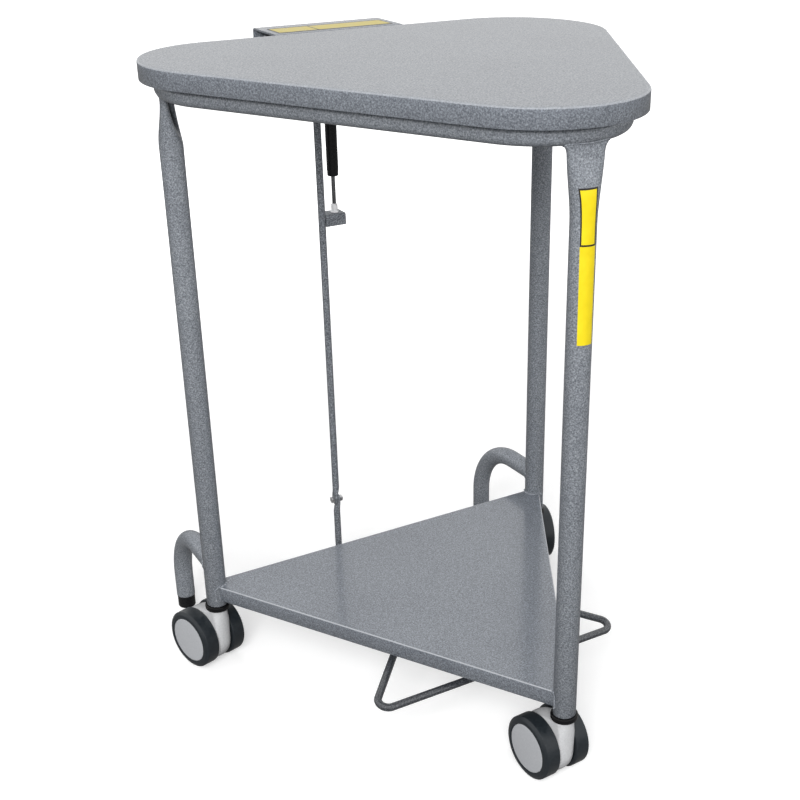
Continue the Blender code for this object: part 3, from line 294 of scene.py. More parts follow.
def turnedMesh(name, profile, segments, place, sharp=meshSpec["sharp"]):
    # solid of revolution about Z, set in place; a profile that starts off the axis is closed into a ring
    bm = bmesh.new()
    rings = []
    for radius, z in profile:
        turns = [tau * k / segments for k in range(1 if radius < meshSpec["onAxis"] else segments)]
        rings.append([bm.verts.new(place @ Vector((radius * cos(t), radius * sin(t), z))) for t in turns])
    if profile[0][0] > meshSpec["onAxis"]:
        rings.append(rings[0])
    for one, two in zip(rings, rings[1:]):
        for k in range(segments):
            addQuad(bm, one, two, k)
    return finishMesh(bm, name, sharp)


def addTurned(name, profile, segments, place, finish, body, node, sharp=meshSpec["sharp"]):
    addPiece(name, turnedMesh(name, profile, segments, place, sharp), finish, body, [node])


def loftMesh(name, rings, sharp=meshSpec["sharp"]):
    bm = bmesh.new()
    made = [[bm.verts.new(p) for p in ring] for ring in rings]
    for one, two in zip(made, made[1:]):
        for k in range(len(one)):
            addQuad(bm, one, two, k)
    bm.faces.new(made[0])
    bm.faces.new(made[-1])
    return finishMesh(bm, name, sharp)


def plateMesh(name, outline, low, high, hole=None):
    # plate across X from an outline in Y and Z, with a hole that has as many points as the outline
    bm = bmesh.new()
    outer = [[bm.verts.new((x, y, z)) for y, z in outline] for x in (low, high)]
    for k in range(len(outline)):
        addQuad(bm, *outer, k)
    if hole:
        inner = [[bm.verts.new((x, y, z)) for y, z in hole] for x in (low, high)]
        for k in range(len(hole)):
            for one, two in (inner, *zip(outer, inner)):
                addQuad(bm, one, two, k)
    else:
        for loop in outer:
            bm.faces.new(loop)
    return finishMesh(bm, name)


def alongX(x, y, z):
    return Matrix.Translation((x, y, z)) @ Matrix.Rotation(pi / 2, 4, "Y")


def hexMesh(name, across, height, place):
    # hexagon head with its corners turned down
    rings = []
    for radius, z in ((across * hexSpec["foot"], 0), (across, height * hexSpec["footRise"]),
                      (across, height * hexSpec["tipRise"]), (across * hexSpec["tip"], height)):
        rings.append([place @ Vector((radius * cos(k * pi / 3), radius * sin(k * pi / 3), z)) for k in range(6)])
    return loftMesh(name, rings, hexSpec["sharp"])


def joinMeshes(name, meshes, sharp=meshSpec["sharp"]):
    bm = bmesh.new()
    for mesh in meshes:
        bm.from_mesh(mesh)
    return shadeMesh(meshFrom(bm, name), sharp)


def cornerPlace(side, reach):
    return standMiddle + unit(cornerTurn[side]) * reach


def roundedTriangle(radius, steps):
    outline = []
    for side in ("right", "left", "front"):
        turn = cornerTurn[side]
        outline += arcPoints(cornerPlace(side, cornerCircle), radius, turn - pi / 3, turn + pi / 3, steps)
    return outline


# node trees for tubes and weld beads

weldSpec = {"bead": 0.0016, "thin": 0.8, "pitch": 0.9, "wobble": (0.85, 1.15), "segments": 12, "rings": 8,
            "seed": {"shelf": 7, "flange": 17, "ring": 27, "outrigger": 37}, "sharp": 80, "off": 0.0004,
            "shelfArc": 74, "shelfSteps": 30, "shelfRise": 0.0002, "endDrop": 0.002, "flangeTurn": radians(84),
            "flangeStart": 0.003, "flangeRun": 0.020, "flangeSteps": 8, "ringOff": 0.0002, "ringSteps": 48,
            "ringShare": 0.95, "outriggerSteps": 40}


def newTree(name, sockets):
    tree = bpy.data.node_groups.new(name, "GeometryNodeTree")
    for label, kind in (("Geometry", "Geometry"), *sockets):
        tree.interface.new_socket(label, in_out="INPUT", socket_type="NodeSocket" + kind)
    tree.interface.new_socket("Geometry", in_out="OUTPUT", socket_type="NodeSocketGeometry")
    return tree, tree.nodes.new("NodeGroupInput").outputs


def endTree(tree, start, made):
    # every tree ends in plain geometry with its finish on it
    realize = addNode(tree, "GeometryNodeRealizeInstances", {"Geometry": made})
    paint = addNode(tree, "GeometryNodeSetMaterial", {"Geometry": realize["Geometry"], "Material": start["Finish"]})
    addNode(tree, "NodeGroupOutput", {"Geometry": paint["Geometry"]})
    return tree


def makeTubeTree():
    tree, start = newTree("tubeAlongPath", [("Radius", "Float"), ("Sides", "Int"), ("Finish", "Material")])
    path = addNode(tree, "GeometryNodeMeshToCurve", {"Mesh": start["Geometry"]})
    circle = addNode(tree, "GeometryNodeCurvePrimitiveCircle", {"Radius": start["Radius"],
                                                                "Resolution": start["Sides"]})
    sweep = addNode(tree, "GeometryNodeCurveToMesh", {"Curve": path["Curve"], "Profile Curve": circle["Curve"],
                                                      "Fill Caps": True})
    return endTree(tree, start, sweep["Mesh"])


def makeWeldTree():
    tree, start = newTree("weldBead", [("Pitch", "Float"), ("Bead", "Float"), ("Seed", "Int"),
                                       ("Finish", "Material")])
    path = addNode(tree, "GeometryNodeMeshToCurve", {"Mesh": start["Geometry"]})
    spaced = addNode(tree, "GeometryNodeResampleCurve", {"Curve": path["Curve"], "Length": start["Pitch"]},
                     mode="LENGTH")
    ripple = addNode(tree, "GeometryNodeMeshUVSphere", {"Segments": weldSpec["segments"], "Rings": weldSpec["rings"],
                                                        "Radius": start["Bead"]})
    low, high = weldSpec["wobble"]
    wobble = addNode(tree, "FunctionNodeRandomValue", {2: low, 3: high, "Seed": start["Seed"]})
    place = addNode(tree, "GeometryNodeInstanceOnPoints", {"Points": spaced["Curve"], "Instance": ripple["Mesh"],
                                                           "Scale": wobble[1]})
    return endTree(tree, start, place["Instances"])


def runTree(tree, name, path, values, closed):
    # runs a tree on a path of points and returns a plain mesh
    edges = [(k, k + 1) for k in range(len(path) - 1)]
    if closed:
        edges.append((len(path) - 1, 0))
    line = bpy.data.meshes.new(name + "Path")
    line.from_pydata([tuple(p) for p in path], edges, [])
    holder = bpy.data.objects.new(name + "Path", line)
    scene.collection.objects.link(holder)
    step = holder.modifiers.new("tree", "NODES")
    step.node_group = tree
    for item in tree.interface.items_tree:
        if item.in_out == "INPUT" and item.name in values:
            step[item.identifier] = values[item.name]
    graph = bpy.context.evaluated_depsgraph_get()
    mesh = bpy.data.meshes.new_from_object(holder.evaluated_get(graph))
    holder.modifiers.remove(step)
    bpy.data.objects.remove(holder, do_unlink=True)
    mesh.name = name
    return shadeMesh(mesh, meshSpec["sharp"])


tubeTree = makeTubeTree()
weldTree = makeWeldTree()


def addTube(name, path, spec, finish, body, node, closed=False):
    values = {"Radius": spec["radius"], "Sides": spec["around"], "Finish": finish}
    addPiece(name, runTree(tubeTree, name, path, values, closed), finish, body, [node])


def weldMesh(kind, number, path, bead, closed=False):
    values = {"Pitch": bead * weldSpec["pitch"], "Bead": bead, "Seed": weldSpec["seed"][kind] + number,
              "Finish": tubePaint}
    return runTree(weldTree, kind + "Weld", path, values, closed)


# stand: ring, legs, shelf, outriggers

ringSpec = {"radius": 0.0127, "around": 40, "steps": 40}
ringPath = [(x, y, ringZ) for x, y in roundedTriangle(stand["ringCorner"], ringSpec["steps"])]
addTube("ringTube", ringPath, ringSpec, tubePaint, "frame", "top_ring", True)

legSpec = {"radius": 0.015875, "baseZ": 0.112, "rim": 0.0008, "rimInset": 0.0006, "taper": 0.088, "press": 0.066,
           "flatWidth": 0.0505, "flatDepth": 0.0130, "square": 0.35, "dent": 1.7, "dentSpread": 0.42,
           "flare": 0.0042, "flareRun": 0.013, "around": 96, "steps": 40}
foldShadeSpec = {"start": 0.025, "run": 0.035, "wall": 0.0055, "depth": 0.9, "width": 0.48, "fade": 0.12}
legTaperZ = ringZ - ringSpec["radius"] - legSpec["taper"]


def legRing(side, z, grow=0.0):
    # section of a leg: round below, pressed flat and dented from inside under the ring
    radius = legSpec["radius"]
    share = clamp((z - legTaperZ) / legSpec["taper"])
    lip = clamp((z - ringZ + ringSpec["radius"]) / legSpec["flareRun"] + 1)
    wide = radius + (legSpec["flatWidth"] / 2 - radius) * smooth(share) + legSpec["flare"] * lip ** 3 + grow
    ease = smooth(max(1 - (1 - share) * legSpec["taper"] / legSpec["press"], 0.0))
    deep = radius + (legSpec["flatDepth"] / 2 - radius) * ease + grow
    power = 1 - legSpec["square"] * ease
    outward = unit(cornerTurn[side]).to_3d()
    across = Vector((-outward.y, outward.x, 0))
    axis = Vector((*legAxis[side], z))

    def spot(angle):
        c, s = cos(angle), sin(angle)
        pressed = 1 - legSpec["dent"] * ease * exp(-(c / legSpec["dentSpread"]) ** 2) if s < 0 else 1
        return (axis + across * wide * copysign(abs(c) ** power, c)
                + outward * deep * pressed * copysign(abs(s) ** power, s))
    return spot


for side in sides:
    heights = [legSpec["baseZ"], legSpec["baseZ"] + legSpec["rim"], legTaperZ]
    heights += [legTaperZ + (ringZ - legTaperZ) * k / legSpec["steps"] for k in range(1, legSpec["steps"] + 1)]
    rings = []
    for k, z in enumerate(heights):
        spot = legRing(side, z, -legSpec["rimInset"] if k == 0 else 0.0)
        rings.append([spot(tau * n / legSpec["around"]) for n in range(legSpec["around"])])
    tube = loftMesh("legTube_" + side, rings)
    foldShade = tube.attributes.new("paintedFoldShade", "FLOAT", "POINT")
    outward = unit(cornerTurn[side])
    for vert, item in zip(tube.vertices, foldShade.data):    # painted shade darkens the fold of the inner wall
        off = vert.co.to_2d() - legAxis[side]
        fold = abs(off.cross(outward)) / (legSpec["flatWidth"] / 2)
        rise = clamp((vert.co.z - legTaperZ - foldShadeSpec["start"]) / foldShadeSpec["run"])
        inside = 1.0 if off.dot(outward) < foldShadeSpec["wall"] else 0.0
        item.value = foldShadeSpec["depth"] * rise * inside * clamp((foldShadeSpec["width"] - fold) / foldShadeSpec["fade"])
    addPiece("legTube_" + side, tube, tubePaint, "frame", ["leg_" + side])
print("ring and legs done")

panSpec = {"steps": 6, "flat": 0.004, "hemRise": 0.0004, "hemInset": 0.0003, "highlightLow": 0.9, "highlightHigh": 0.02}
shelfSpec = {"margin": 0.008, "skirt": 0.024, "sheet": 0.0012, "edge": 0.0015, "highlight": 0.60}


def shelfOutline(inset):
    outline = []
    half = 2 * (shelfSpec["margin"] - inset) * tan(pi / 6)
    for side in ("right", "left", "front"):
        turn = cornerTurn[side]
        across = Vector((-sin(turn), cos(turn))) * half
        outline += [tuple(legAxis[side] - across), tuple(legAxis[side] + across)]
    return outline


def addPan(name, outlineAt, topZ, spec, body, node):
    # flat sheet with a turned-down skirt: rings of one outline at growing insets, with a painted highlight along its
    # edge
    sheet, edge, low = spec["sheet"], spec["edge"], topZ - spec["skirt"]
    flat, rise, inset = edge + panSpec["flat"], panSpec["hemRise"], panSpec["hemInset"]
    turns = [pi / 2 * k / panSpec["steps"] for k in range(panSpec["steps"] + 1)]
    outer, inner = ([(edge - bend * cos(a), topZ - edge + bend * sin(a)) for a in turns]
                    for bend in (edge, edge - sheet))
    hem = [(0, low + rise), (inset, low), (sheet - inset, low), (sheet, low + rise)]
    profile = [(flat, topZ)] + outer[::-1] + hem + inner + [(flat, topZ - sheet)]
    mesh = loftMesh(name, [[(x, y, z) for x, y in outlineAt(inset)] for inset, z in profile])
    # painted highlight on the rounded edge of the sheet
    edgeHighlight = mesh.attributes.new("paintedEdgeHighlight", "FLOAT", "POINT")
    for vert, item in zip(mesh.vertices, edgeHighlight.data):
        onEdge = topZ - edge * panSpec["highlightLow"] < vert.co.z < topZ - edge * panSpec["highlightHigh"]
        item.value = spec["highlight"] if onEdge else 0.0
    addPiece(name, mesh, veinPaint, body, [node])


addPan("shelfSheet", shelfOutline, stand["shelfTop"], shelfSpec, "frame", "shelf")

outriggerSpec = {"radius": 0.01475, "reach": 0.165, "toe": radians(1.6), "runZ": 0.180, "bend": 0.100,
                 "bendSteps": 28, "endZ": 0.040, "around": 40}
capSpec = {"radius": 0.0140, "height": 0.022, "plug": 0.0126, "plugTop": 0.012, "around": 48}
cap, plug, drop = capSpec["radius"], capSpec["plug"], capSpec["height"]
capProfile = roundCorners([(0, capSpec["plugTop"]), (plug, capSpec["plugTop"]), (plug, -stand["seat"]),
                           (cap, -stand["seat"]), (cap, -drop), (0, -drop)], [0, 0.0004, 0, 0.0012, 0.0026, 0], 6)
for side in ("left", "right"):
    axis = legAxis[side]
    backY, bend, runZ = axis.y + outriggerSpec["reach"], outriggerSpec["bend"], outriggerSpec["runZ"]
    run = [(axis.y, runZ)]
    run += arcPoints((backY - bend, runZ - bend), bend, pi / 2, 0, outriggerSpec["bendSteps"])
    run += [(backY, outriggerSpec["endZ"])]
    toe = -copysign(tan(outriggerSpec["toe"]), axis.x)
    path = [(axis.x + (y - axis.y) * toe, y, z) for y, z in run]
    addTube("outriggerTube_" + side, path, outriggerSpec, tubePaint, "frame", "outrigger_" + side)
    addTurned("footCap_" + side, capProfile, capSpec["around"], Matrix.Translation(path[-1]), blackPlastic, "frame",
              "outrigger_cap_" + side)
print("shelf and outriggers done")

# weld beads round the joints of the stand
bead, thinBead = weldSpec["bead"], weldSpec["bead"] * weldSpec["thin"]
reach, arc, shelfZ = legSpec["radius"] + weldSpec["off"], weldSpec["shelfArc"], stand["shelfTop"]
steps, flangeSteps, ringSteps = weldSpec["shelfSteps"], weldSpec["flangeSteps"], weldSpec["ringSteps"]
for number, side in enumerate(sides):
    axis, inward = legAxis[side], cornerTurn[side] + pi
    shelfArc = [(*(axis + unit(inward + radians(-arc + 2 * arc * k / steps)) * reach),
                 shelfZ + weldSpec["shelfRise"]) for k in range(steps + 1)]
    for end in (0, -1):    # its ends turn down over the shelf's edge
        shelfArc[end] = (*shelfArc[end][:2], shelfZ - weldSpec["endDrop"])
    welds = [weldMesh("shelf", number, shelfArc, bead)]
    for sign in (-1, 1):
        foot = axis + unit(inward + sign * weldSpec["flangeTurn"]) * reach
        line = [(*foot, shelfZ - weldSpec["flangeStart"] - weldSpec["flangeRun"] * k / flangeSteps)
                for k in range(flangeSteps + 1)]
        welds.append(weldMesh("flange", number, line, thinBead))
    top = legRing(side, ringZ - ringSpec["radius"], weldSpec["ringOff"])
    collar = []
    for k in range(ringSteps):
        p = top(tau * k / ringSteps)
        off = abs((p.to_2d() - cornerPlace(side, cornerCircle)).length - stand["ringCorner"])
        off = min(off, ringSpec["radius"] * weldSpec["ringShare"])    # stays on the ring's underside
        collar.append((p.x, p.y, ringZ - sqrt(ringSpec["radius"] ** 2 - off * off)))
    welds.append(weldMesh("ring", number, collar, thinBead, True))
    if side != "front":
        ring = []
        for k in range(weldSpec["outriggerSteps"]):
            a = tau * k / weldSpec["outriggerSteps"]
            x = outriggerSpec["radius"] * cos(a)
            ring.append((axis.x + x, axis.y + sqrt(legSpec["radius"] ** 2 - x * x),
                         outriggerSpec["runZ"] + outriggerSpec["radius"] * sin(a)))
        welds.append(weldMesh("outrigger", number, ring, bead, True))
    beads = joinMeshes("weldBeads_" + side, welds, weldSpec["sharp"])
    addPiece("weldBeads_" + side, beads, tubePaint, "frame")
print("welds done")

# lid, hinge channel and pins

lidSpec = {"corner": stand["ringCorner"] + stand["lidMargin"], "skirt": 0.024, "sheet": 0.0015, "edge": 0.0022,
           "highlight": 0.30, "steps": 40}
addPan("lidSheet", lambda inset: roundedTriangle(lidSpec["corner"] - inset, lidSpec["steps"]), stand["lidTop"],
       lidSpec, "lid", "lid_pan")

hingeY, hingeZ = middleOf("hinge_pin").yz
channelSpec = {"length": 0.200, "back": rowY + 0.164, "flange": 0.024, "sheet": 0.003, "bend": 0.0045,
               "ribX": 0.055, "ribSheet": 0.004, "boss": 0.0095, "bossStart": radians(-100), "soft": 0.0005}
front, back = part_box("lid_pan")[1][1] + stand["seat"], channelSpec["back"]
thick, bend, boss = channelSpec["sheet"], channelSpec["bend"], channelSpec["boss"]
topZ, lowZ = stand["lidTop"], stand["lidTop"] - channelSpec["flange"]
section = roundCorners([(front, lowZ), (front, topZ), (back, topZ), (back, lowZ), (back - thick, lowZ),
                        (back - thick, topZ - thick), (front + thick, topZ - thick), (front + thick, lowZ)],
                       [0, bend, bend, 0, 0, bend - thick, bend - thick, 0], 5, True)
channel = plateMesh("channelSheet", section, -channelSpec["length"] / 2, channelSpec["length"] / 2)
rib = [(hingeY + boss, topZ - thick), (front + thick, topZ - thick), (front + thick, hingeZ)]
rib += arcPoints((hingeY, hingeZ), boss, channelSpec["bossStart"], 0, 16)
ribs = [plateMesh("rib", rib, sign * channelSpec["ribX"] - channelSpec["ribSheet"] / 2,
                  sign * channelSpec["ribX"] + channelSpec["ribSheet"] / 2) for sign in (-1, 1)]
addPiece("hingeChannel", joinMeshes("hingeChannel", [channel] + ribs), veinPaint, "lid", ["hinge_channel"],
         bevel=channelSpec["soft"])

bushSpec = {"bore": 0.0050, "radius": 0.0070, "half": 0.004, "around": 40}
bore, wide, half = bushSpec["bore"], bushSpec["radius"], bushSpec["half"]
bushProfile = roundCorners([(bore, -half), (bore, half), (wide, half), (wide, -half)],
                           [0.0003, 0.0003, 0.0008, 0.0008], 4, True)
for side, sign in (("left", -1), ("right", 1)):
    place = alongX(sign * channelSpec["ribX"], hingeY, hingeZ)
    addTurned("hingeBush_" + side, bushProfile, bushSpec["around"], place, nylon, "lid", "hinge_bush_" + side)

bumperSpec = {"root": 0.0088, "tip": 0.0070, "low": 0.0001, "high": 0.0195, "around": 40}
low, high = bumperSpec["low"], bumperSpec["high"]
bumperProfile = roundCorners([(0, high), (bumperSpec["root"], high), (bumperSpec["tip"], low), (0, low)],
                             [0, 0.001, 0.0025, 0], 6)
for side in sides:
    place = Matrix.Translation((*legAxis[side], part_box("lid_bumper_" + side)[0][2]))
    addTurned("lidBumper_" + side, bumperProfile, bumperSpec["around"], place, bumperRubber, "lid",
              "lid_bumper_" + side)

# round pins along X with a domed head at each end: node, body, pin radius, head radius, head height
pinSpec = {"hingePinBar": ("hinge_pin", "frame", 0.00475, 0.0085, 0.007),
           "crankPinBar": ("crank_pin", "lid", 0.004, 0.0062, 0.0025),
           "pedalPivotBar": ("pedal_pivot_pin", "frame", 0.004, 0.0062, 0.0025),
           "linkPinBar": ("link_pin", "pedal", 0.004, 0.0062, 0.0025),
           "damperBoltBar": ("damper_bolt", "frame", 0.003, 0.0054, 0.0025)}
for name, (node, body, radius, wide, head) in pinSpec.items():
    low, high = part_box(node)
    length = high[0] - low[0]
    dome, crease = head * 0.45, 0.0003
    profile = roundCorners([(0, 0), (wide, 0), (wide, head), (radius, head), (radius, length - head),
                            (wide, length - head), (wide, length), (0, length)],
                           [0, dome, crease, 0, 0, crease, dome, 0], 6)
    addTurned(name, profile, 40, alongX(low[0], *middleOf(node).yz), zincSteel, body, node)
print("lid and hinge done")

# push bar, lower link and damper

barX = -0.026
barY, jointZ = middleOf("joint_bolt").yz
crankZ = middleOf("crank_pin").z
barSpec = {"radius": 0.0055, "around": 32, "tongue": 0.0042, "tip": 0.008, "tipWidth": 0.0006, "square": 0.55,
           "hold": 0.003, "flatten": 0.020, "steps": 8, "eyeSheet": 0.006, "slotRun": 0.0031, "slotRadius": 0.0049,
           "rim": 0.0045, "neckDrop": 0.0105, "neckRun": 0.012, "neckSink": 0.002, "soft": 0.0004}


def rodRings(stations):
    # stations: height, side offset, half thickness along X, half width along Y, and 1 for round or less for square
    rings = []
    for z, shift, thin, wide, power in stations:
        ring = []
        for k in range(barSpec["around"]):
            a = tau * k / barSpec["around"]
            c, s = cos(a), sin(a)
            ring.append((barX + shift + thin * copysign(abs(c) ** power, c),
                         barY + wide * copysign(abs(s) ** power, s), z))
        rings.append(ring)
    return rings


def flatEnd(tipZ, away, shift):
    # flattened rod end, from its round tip at the hole back to the round rod
    tip, thin, radius = barSpec["tip"], barSpec["tongue"] / 2, barSpec["radius"]
    square, steps = barSpec["square"], barSpec["steps"]
    stations = []
    for k in range(steps + 1):
        a = pi / 2 * k / steps
        stations.append((tipZ - away * tip * cos(a), shift, thin, max(tip * sin(a), barSpec["tipWidth"]), square))
    for k in range(1, steps + 1):
        ease = smooth(k / steps)
        z = tipZ + away * (barSpec["hold"] + barSpec["flatten"] * k / steps)
        stations.append((z, shift * (1 - ease), thin + (radius - thin) * ease, tip + (radius - tip) * ease,
                         square + (1 - square) * ease))
    return stations


def slotOutline(radius):
    # round-ended slot across the bar, about the crank pin
    right, left = ((barY + sign * barSpec["slotRun"], crankZ) for sign in (1, -1))
    return arcPoints(right, radius, -pi / 2, pi / 2, 20) + arcPoints(left, radius, pi / 2, pi * 1.5, 20)


offset = stand["seat"] + barSpec["tongue"] / 2    # bar and link lie side by side on the joint bolt
rodTop = crankZ - barSpec["neckDrop"]
neck = [(rodTop - barSpec["neckRun"], 0, barSpec["radius"], barSpec["radius"], 1.0),
        (rodTop - 0.001, 0, 0.0045, 0.0047, 0.9), (rodTop, 0, 0.0028, 0.0044, 0.7),
        (crankZ - barSpec["slotRadius"] - barSpec["neckSink"], 0, 0.0027, 0.0048, 0.7)]
barRod = loftMesh("barRod", rodRings(flatEnd(jointZ, 1, -offset) + neck))
barEye = plateMesh("barEye", slotOutline(barSpec["slotRadius"] + barSpec["rim"]), barX - barSpec["eyeSheet"] / 2,
                   barX + barSpec["eyeSheet"] / 2, slotOutline(barSpec["slotRadius"]))
addPiece("pushBar", joinMeshes("pushBar", [barRod, barEye]), rodPaint, "push_bar", ["push_bar"],
         bevel=barSpec["soft"])
linkEnds = flatEnd(middleOf("link_pin").z, 1, offset) + flatEnd(jointZ, -1, offset)[::-1]
addPiece("lowerLink", loftMesh("lowerLink", rodRings(linkEnds)), rodPaint, "lower_link", ["lower_link"],
         bevel=barSpec["soft"])

boltSpec = {"head": 0.0060, "height": 0.0045, "shank": 0.003, "sink": 0.001, "tip": 0.0007, "around": 32}
low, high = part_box("joint_bolt")
boltHead = hexMesh("boltHead", boltSpec["head"], boltSpec["height"],
                   alongX(low[0] + boltSpec["height"], barY, jointZ) @ Matrix.Rotation(pi, 4, "X"))
length = high[0] - low[0] - boltSpec["sink"]
profile = roundCorners([(0, 0), (boltSpec["shank"], 0), (boltSpec["shank"], length), (0, length)],
                       [0, 0, boltSpec["tip"], 0], 4)
shank = turnedMesh("boltShank", profile, boltSpec["around"], alongX(low[0] + boltSpec["sink"], barY, jointZ))
addPiece("jointBolt", joinMeshes("jointBolt", [boltHead, shank], hexSpec["sharp"]), zincSteel, "push_bar",
         ["joint_bolt"])
nut = hexMesh("jointNut", boltSpec["head"], boltSpec["height"], alongX(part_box("joint_nut")[0][0], barY, jointZ))
addPiece("jointNut", nut, zincSteel, "push_bar", ["joint_nut"])

damperSpec = {"radius": 0.0088, "length": 0.098, "crown": 0.86, "cap": 0.97, "gland": 0.96, "eyeRise": 0.016,
              "eyeRadius": 0.0065, "eyeHalf": 0.003, "eyeFoot": 0.0052, "eyeSink": 0.001, "rod": 0.003,
              "boreRadius": 0.0033, "bore": 0.072, "soft": 0.0004}
damperY = middleOf("damper_rod").y
damperPlace = Matrix.Translation((0, damperY, 0))
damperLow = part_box("damper_cylinder")[0][2]
tubeTop, boreTop = damperLow + damperSpec["length"], damperLow + damperSpec["bore"]
wide, bore = damperSpec["radius"], damperSpec["boreRadius"]
cap, gland = wide * damperSpec["cap"], wide * damperSpec["gland"]
profile = roundCorners([(0, tubeTop), (wide * damperSpec["crown"], tubeTop), (cap, tubeTop - 0.004),
                        (cap, tubeTop - 0.006), (wide, tubeTop - 0.0065), (wide, damperLow + 0.008),
                        (gland, damperLow + 0.0072), (gland, damperLow), (bore, damperLow), (bore, boreTop),
                        (0, boreTop)], [0, 0.002, 0.0004, 0.0003, 0.0003, 0.0003, 0.0003, 0.0018, 0.0005, 0, 0], 5)
tube = turnedMesh("damperTube", profile, 48, damperPlace)
eye = arcPoints((damperY, tubeTop + damperSpec["eyeRise"]), damperSpec["eyeRadius"], 0, pi, 24)
eye += [(damperY + sign * damperSpec["eyeFoot"], tubeTop - damperSpec["eyeSink"]) for sign in (-1, 1)]
eyePlate = plateMesh("damperEye", eye, -damperSpec["eyeHalf"], damperSpec["eyeHalf"])
addPiece("damperCylinder", joinMeshes("damperCylinder", [tube, eyePlate]), blackPlastic, "frame", ["damper_cylinder"],
         bevel=damperSpec["soft"])
low, high = (corner[2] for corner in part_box("damper_rod"))
profile = roundCorners([(0, low), (damperSpec["rod"], low), (damperSpec["rod"], high), (0, high)],
                       [0, 0.0002, 0.0004, 0], 3)
addTurned("damperRod", profile, 32, damperPlace, darkSteel, "push_bar", "damper_rod")

fittingSpec = {"collar": 0.0062, "collarTop": 0.0018, "body": 0.0050, "bodyLow": 0.0022}
low, high = (corner[2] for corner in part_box("damper_fitting"))
wide, slim = fittingSpec["collar"], fittingSpec["body"]
profile = roundCorners([(0, low), (wide, low), (wide, low + fittingSpec["collarTop"]),
                        (slim, low + fittingSpec["bodyLow"]), (slim, high), (0, high)],
                       [0, 0.0004, 0.0005, 0.0002, 0.0012, 0], 5)
addTurned("damperFitting", profile, 48, damperPlace, brightPlate, "push_bar", "damper_fitting")

lugSpec = {"sheet": 0.003, "inside": 0.001, "outside": 0.0038, "soft": 0.0005}
low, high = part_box("damper_lug")
innerY, innerZ = low[1] + lugSpec["sheet"], high[2] - lugSpec["sheet"]
section = roundCorners([(low[1], low[2]), (innerY, low[2]), (innerY, innerZ), (high[1], innerZ), (high[1], high[2]),
                        (low[1], high[2])], [0, 0, lugSpec["inside"], 0, 0, lugSpec["outside"]], 6, True)
addPiece("damperLug", plateMesh("damperLug", section, low[0], high[0]), rodPaint, "push_bar", ["damper_lug"],
         bevel=lugSpec["soft"])
print("push bar and damper done")

# pedal

pedalSpec = {"radius": 0.0055, "front": 0.3566, "halfWidth": 0.2135, "apex": 0.1276, "cornerBend": 0.014,
             "apexBend": 0.030, "frontZ": 0.095, "tilt": radians(10.76), "around": 28, "steps": 20}
half, frontY, bend = pedalSpec["halfWidth"], rowY - pedalSpec["front"], pedalSpec["cornerBend"]
loop = roundCorners([(-half, frontY), (half, frontY), (0, rowY - pedalSpec["apex"])],
                    [bend, bend, pedalSpec["apexBend"]], pedalSpec["steps"], True)
slope = tan(pedalSpec["tilt"])
loopPath = [(x, y, pedalSpec["frontZ"] + slope * (y - rowY + pedalSpec["front"])) for x, y in loop]
addTube("pedalRod", loopPath, pedalSpec, shadedPedalPaint, "pedal", "pedal_loop", True)
print("pedal done")

# casters

casterSpec = {"wheelRadius": 0.0465, "inset": 0.0142, "outer": 0.0388, "bore": 0.0360, "flat": 0.0186,
              "innerRound": 0.0022, "trail": 0.0324, "segments": 96, "sharp": 30}
housingSpec = {"radius": 0.0445, "half": 0.0136, "low": 0.005, "lowRound": 0.005, "splitZ": 0.030, "neck": 0.0145,
               "neckShare": 0.96, "neckTop": 0.1015, "neckSlope": 0.1, "hoodTop": 0.0975, "hoodFront": 0.0138,
               "hoodBack": 0.0128, "blend": 0.016, "noseShare": 0.55, "tail": 0.007, "sharp": 50.0}
collarSpec = {"radius": 0.0190, "low": 0.1018, "top": 0.1117, "plug": 0.0139, "plugTop": 0.1540, "bore": 0.0058,
              "around": 56}
casterYaw = {"left": radians(106.7), "right": radians(73.3), "front": radians(93.3)}


def housingMesh(name, turn):
    # level sections from the round neck down to the hood between the wheels, which ends on the wheel's circle
    spec = housingSpec
    radius, hub = spec["radius"], Vector((casterSpec["trail"], casterSpec["wheelRadius"]))
    flanks = []
    for u, sign in ((-spec["hoodFront"], 1), (spec["hoodBack"], -1)):
        top = Vector((u, spec["hoodTop"]))
        arm = top - hub
        angle = atan2(arm.y, arm.x) + sign * acos(radius / arm.length)
        flanks.append((top, hub + unit(angle) * radius))

    def edgeAt(z, flank, sign):
        top, touch = flank
        if z >= top.y:
            return top.x + sign * (z - top.y) * spec["neckSlope"]
        if z >= touch.y:
            return top.x + (touch.x - top.x) * (top.y - z) / (top.y - touch.y)
        return hub.x + sign * sqrt(max(radius ** 2 - (z - hub.y) ** 2, 1e-8))

    low, split, hood, neck = spec["low"], spec["splitZ"], spec["hoodTop"], spec["neck"] * spec["neckShare"]
    rim = ((0, 0.0016), (0.0006, 0.0006), (0.0016, 0.0))    # drop and inset of the neck's rounded rim
    heights = [(spec["neckTop"] - drop, inset) for drop, inset in rim]
    heights += [(hood + (split - hood) * k / 24, 0.0) for k in range(25)]
    heights += [(low + (split - low) * (1 - sin(pi / 2 * k / 14)), 0.0) for k in range(1, 15)]
    rings = []
    for z, inset in heights:
        front, back = edgeAt(z, flanks[0], -1), edgeAt(z, flanks[1], 1)
        drop = clamp((hood - z) / spec["blend"])
        wide = neck + (spec["half"] - neck) * drop
        wide -= inset
        under = clamp((low + spec["lowRound"] - z) / spec["lowRound"])
        wide -= spec["lowRound"] * (1 - sqrt(1 - under ** 2))
        nose = min(wide * (1 + (spec["noseShare"] - 1) * drop), (back - front) / 2)
        tail = min(wide + (spec["tail"] - wide) * drop, (back - front) / 2)
        ring = [(front + nose + nose * cos(a), wide * sin(a)) for a in [pi / 2 + pi * n / 28 for n in range(29)]]
        ring += [(back - tail + tail * cos(a), wide * sin(a)) for a in [-pi / 2 + pi * n / 16 for n in range(17)]]
        rings.append([turn @ Vector((u, v, z)) for u, v in ring])
    return loftMesh(name, rings, spec["sharp"])


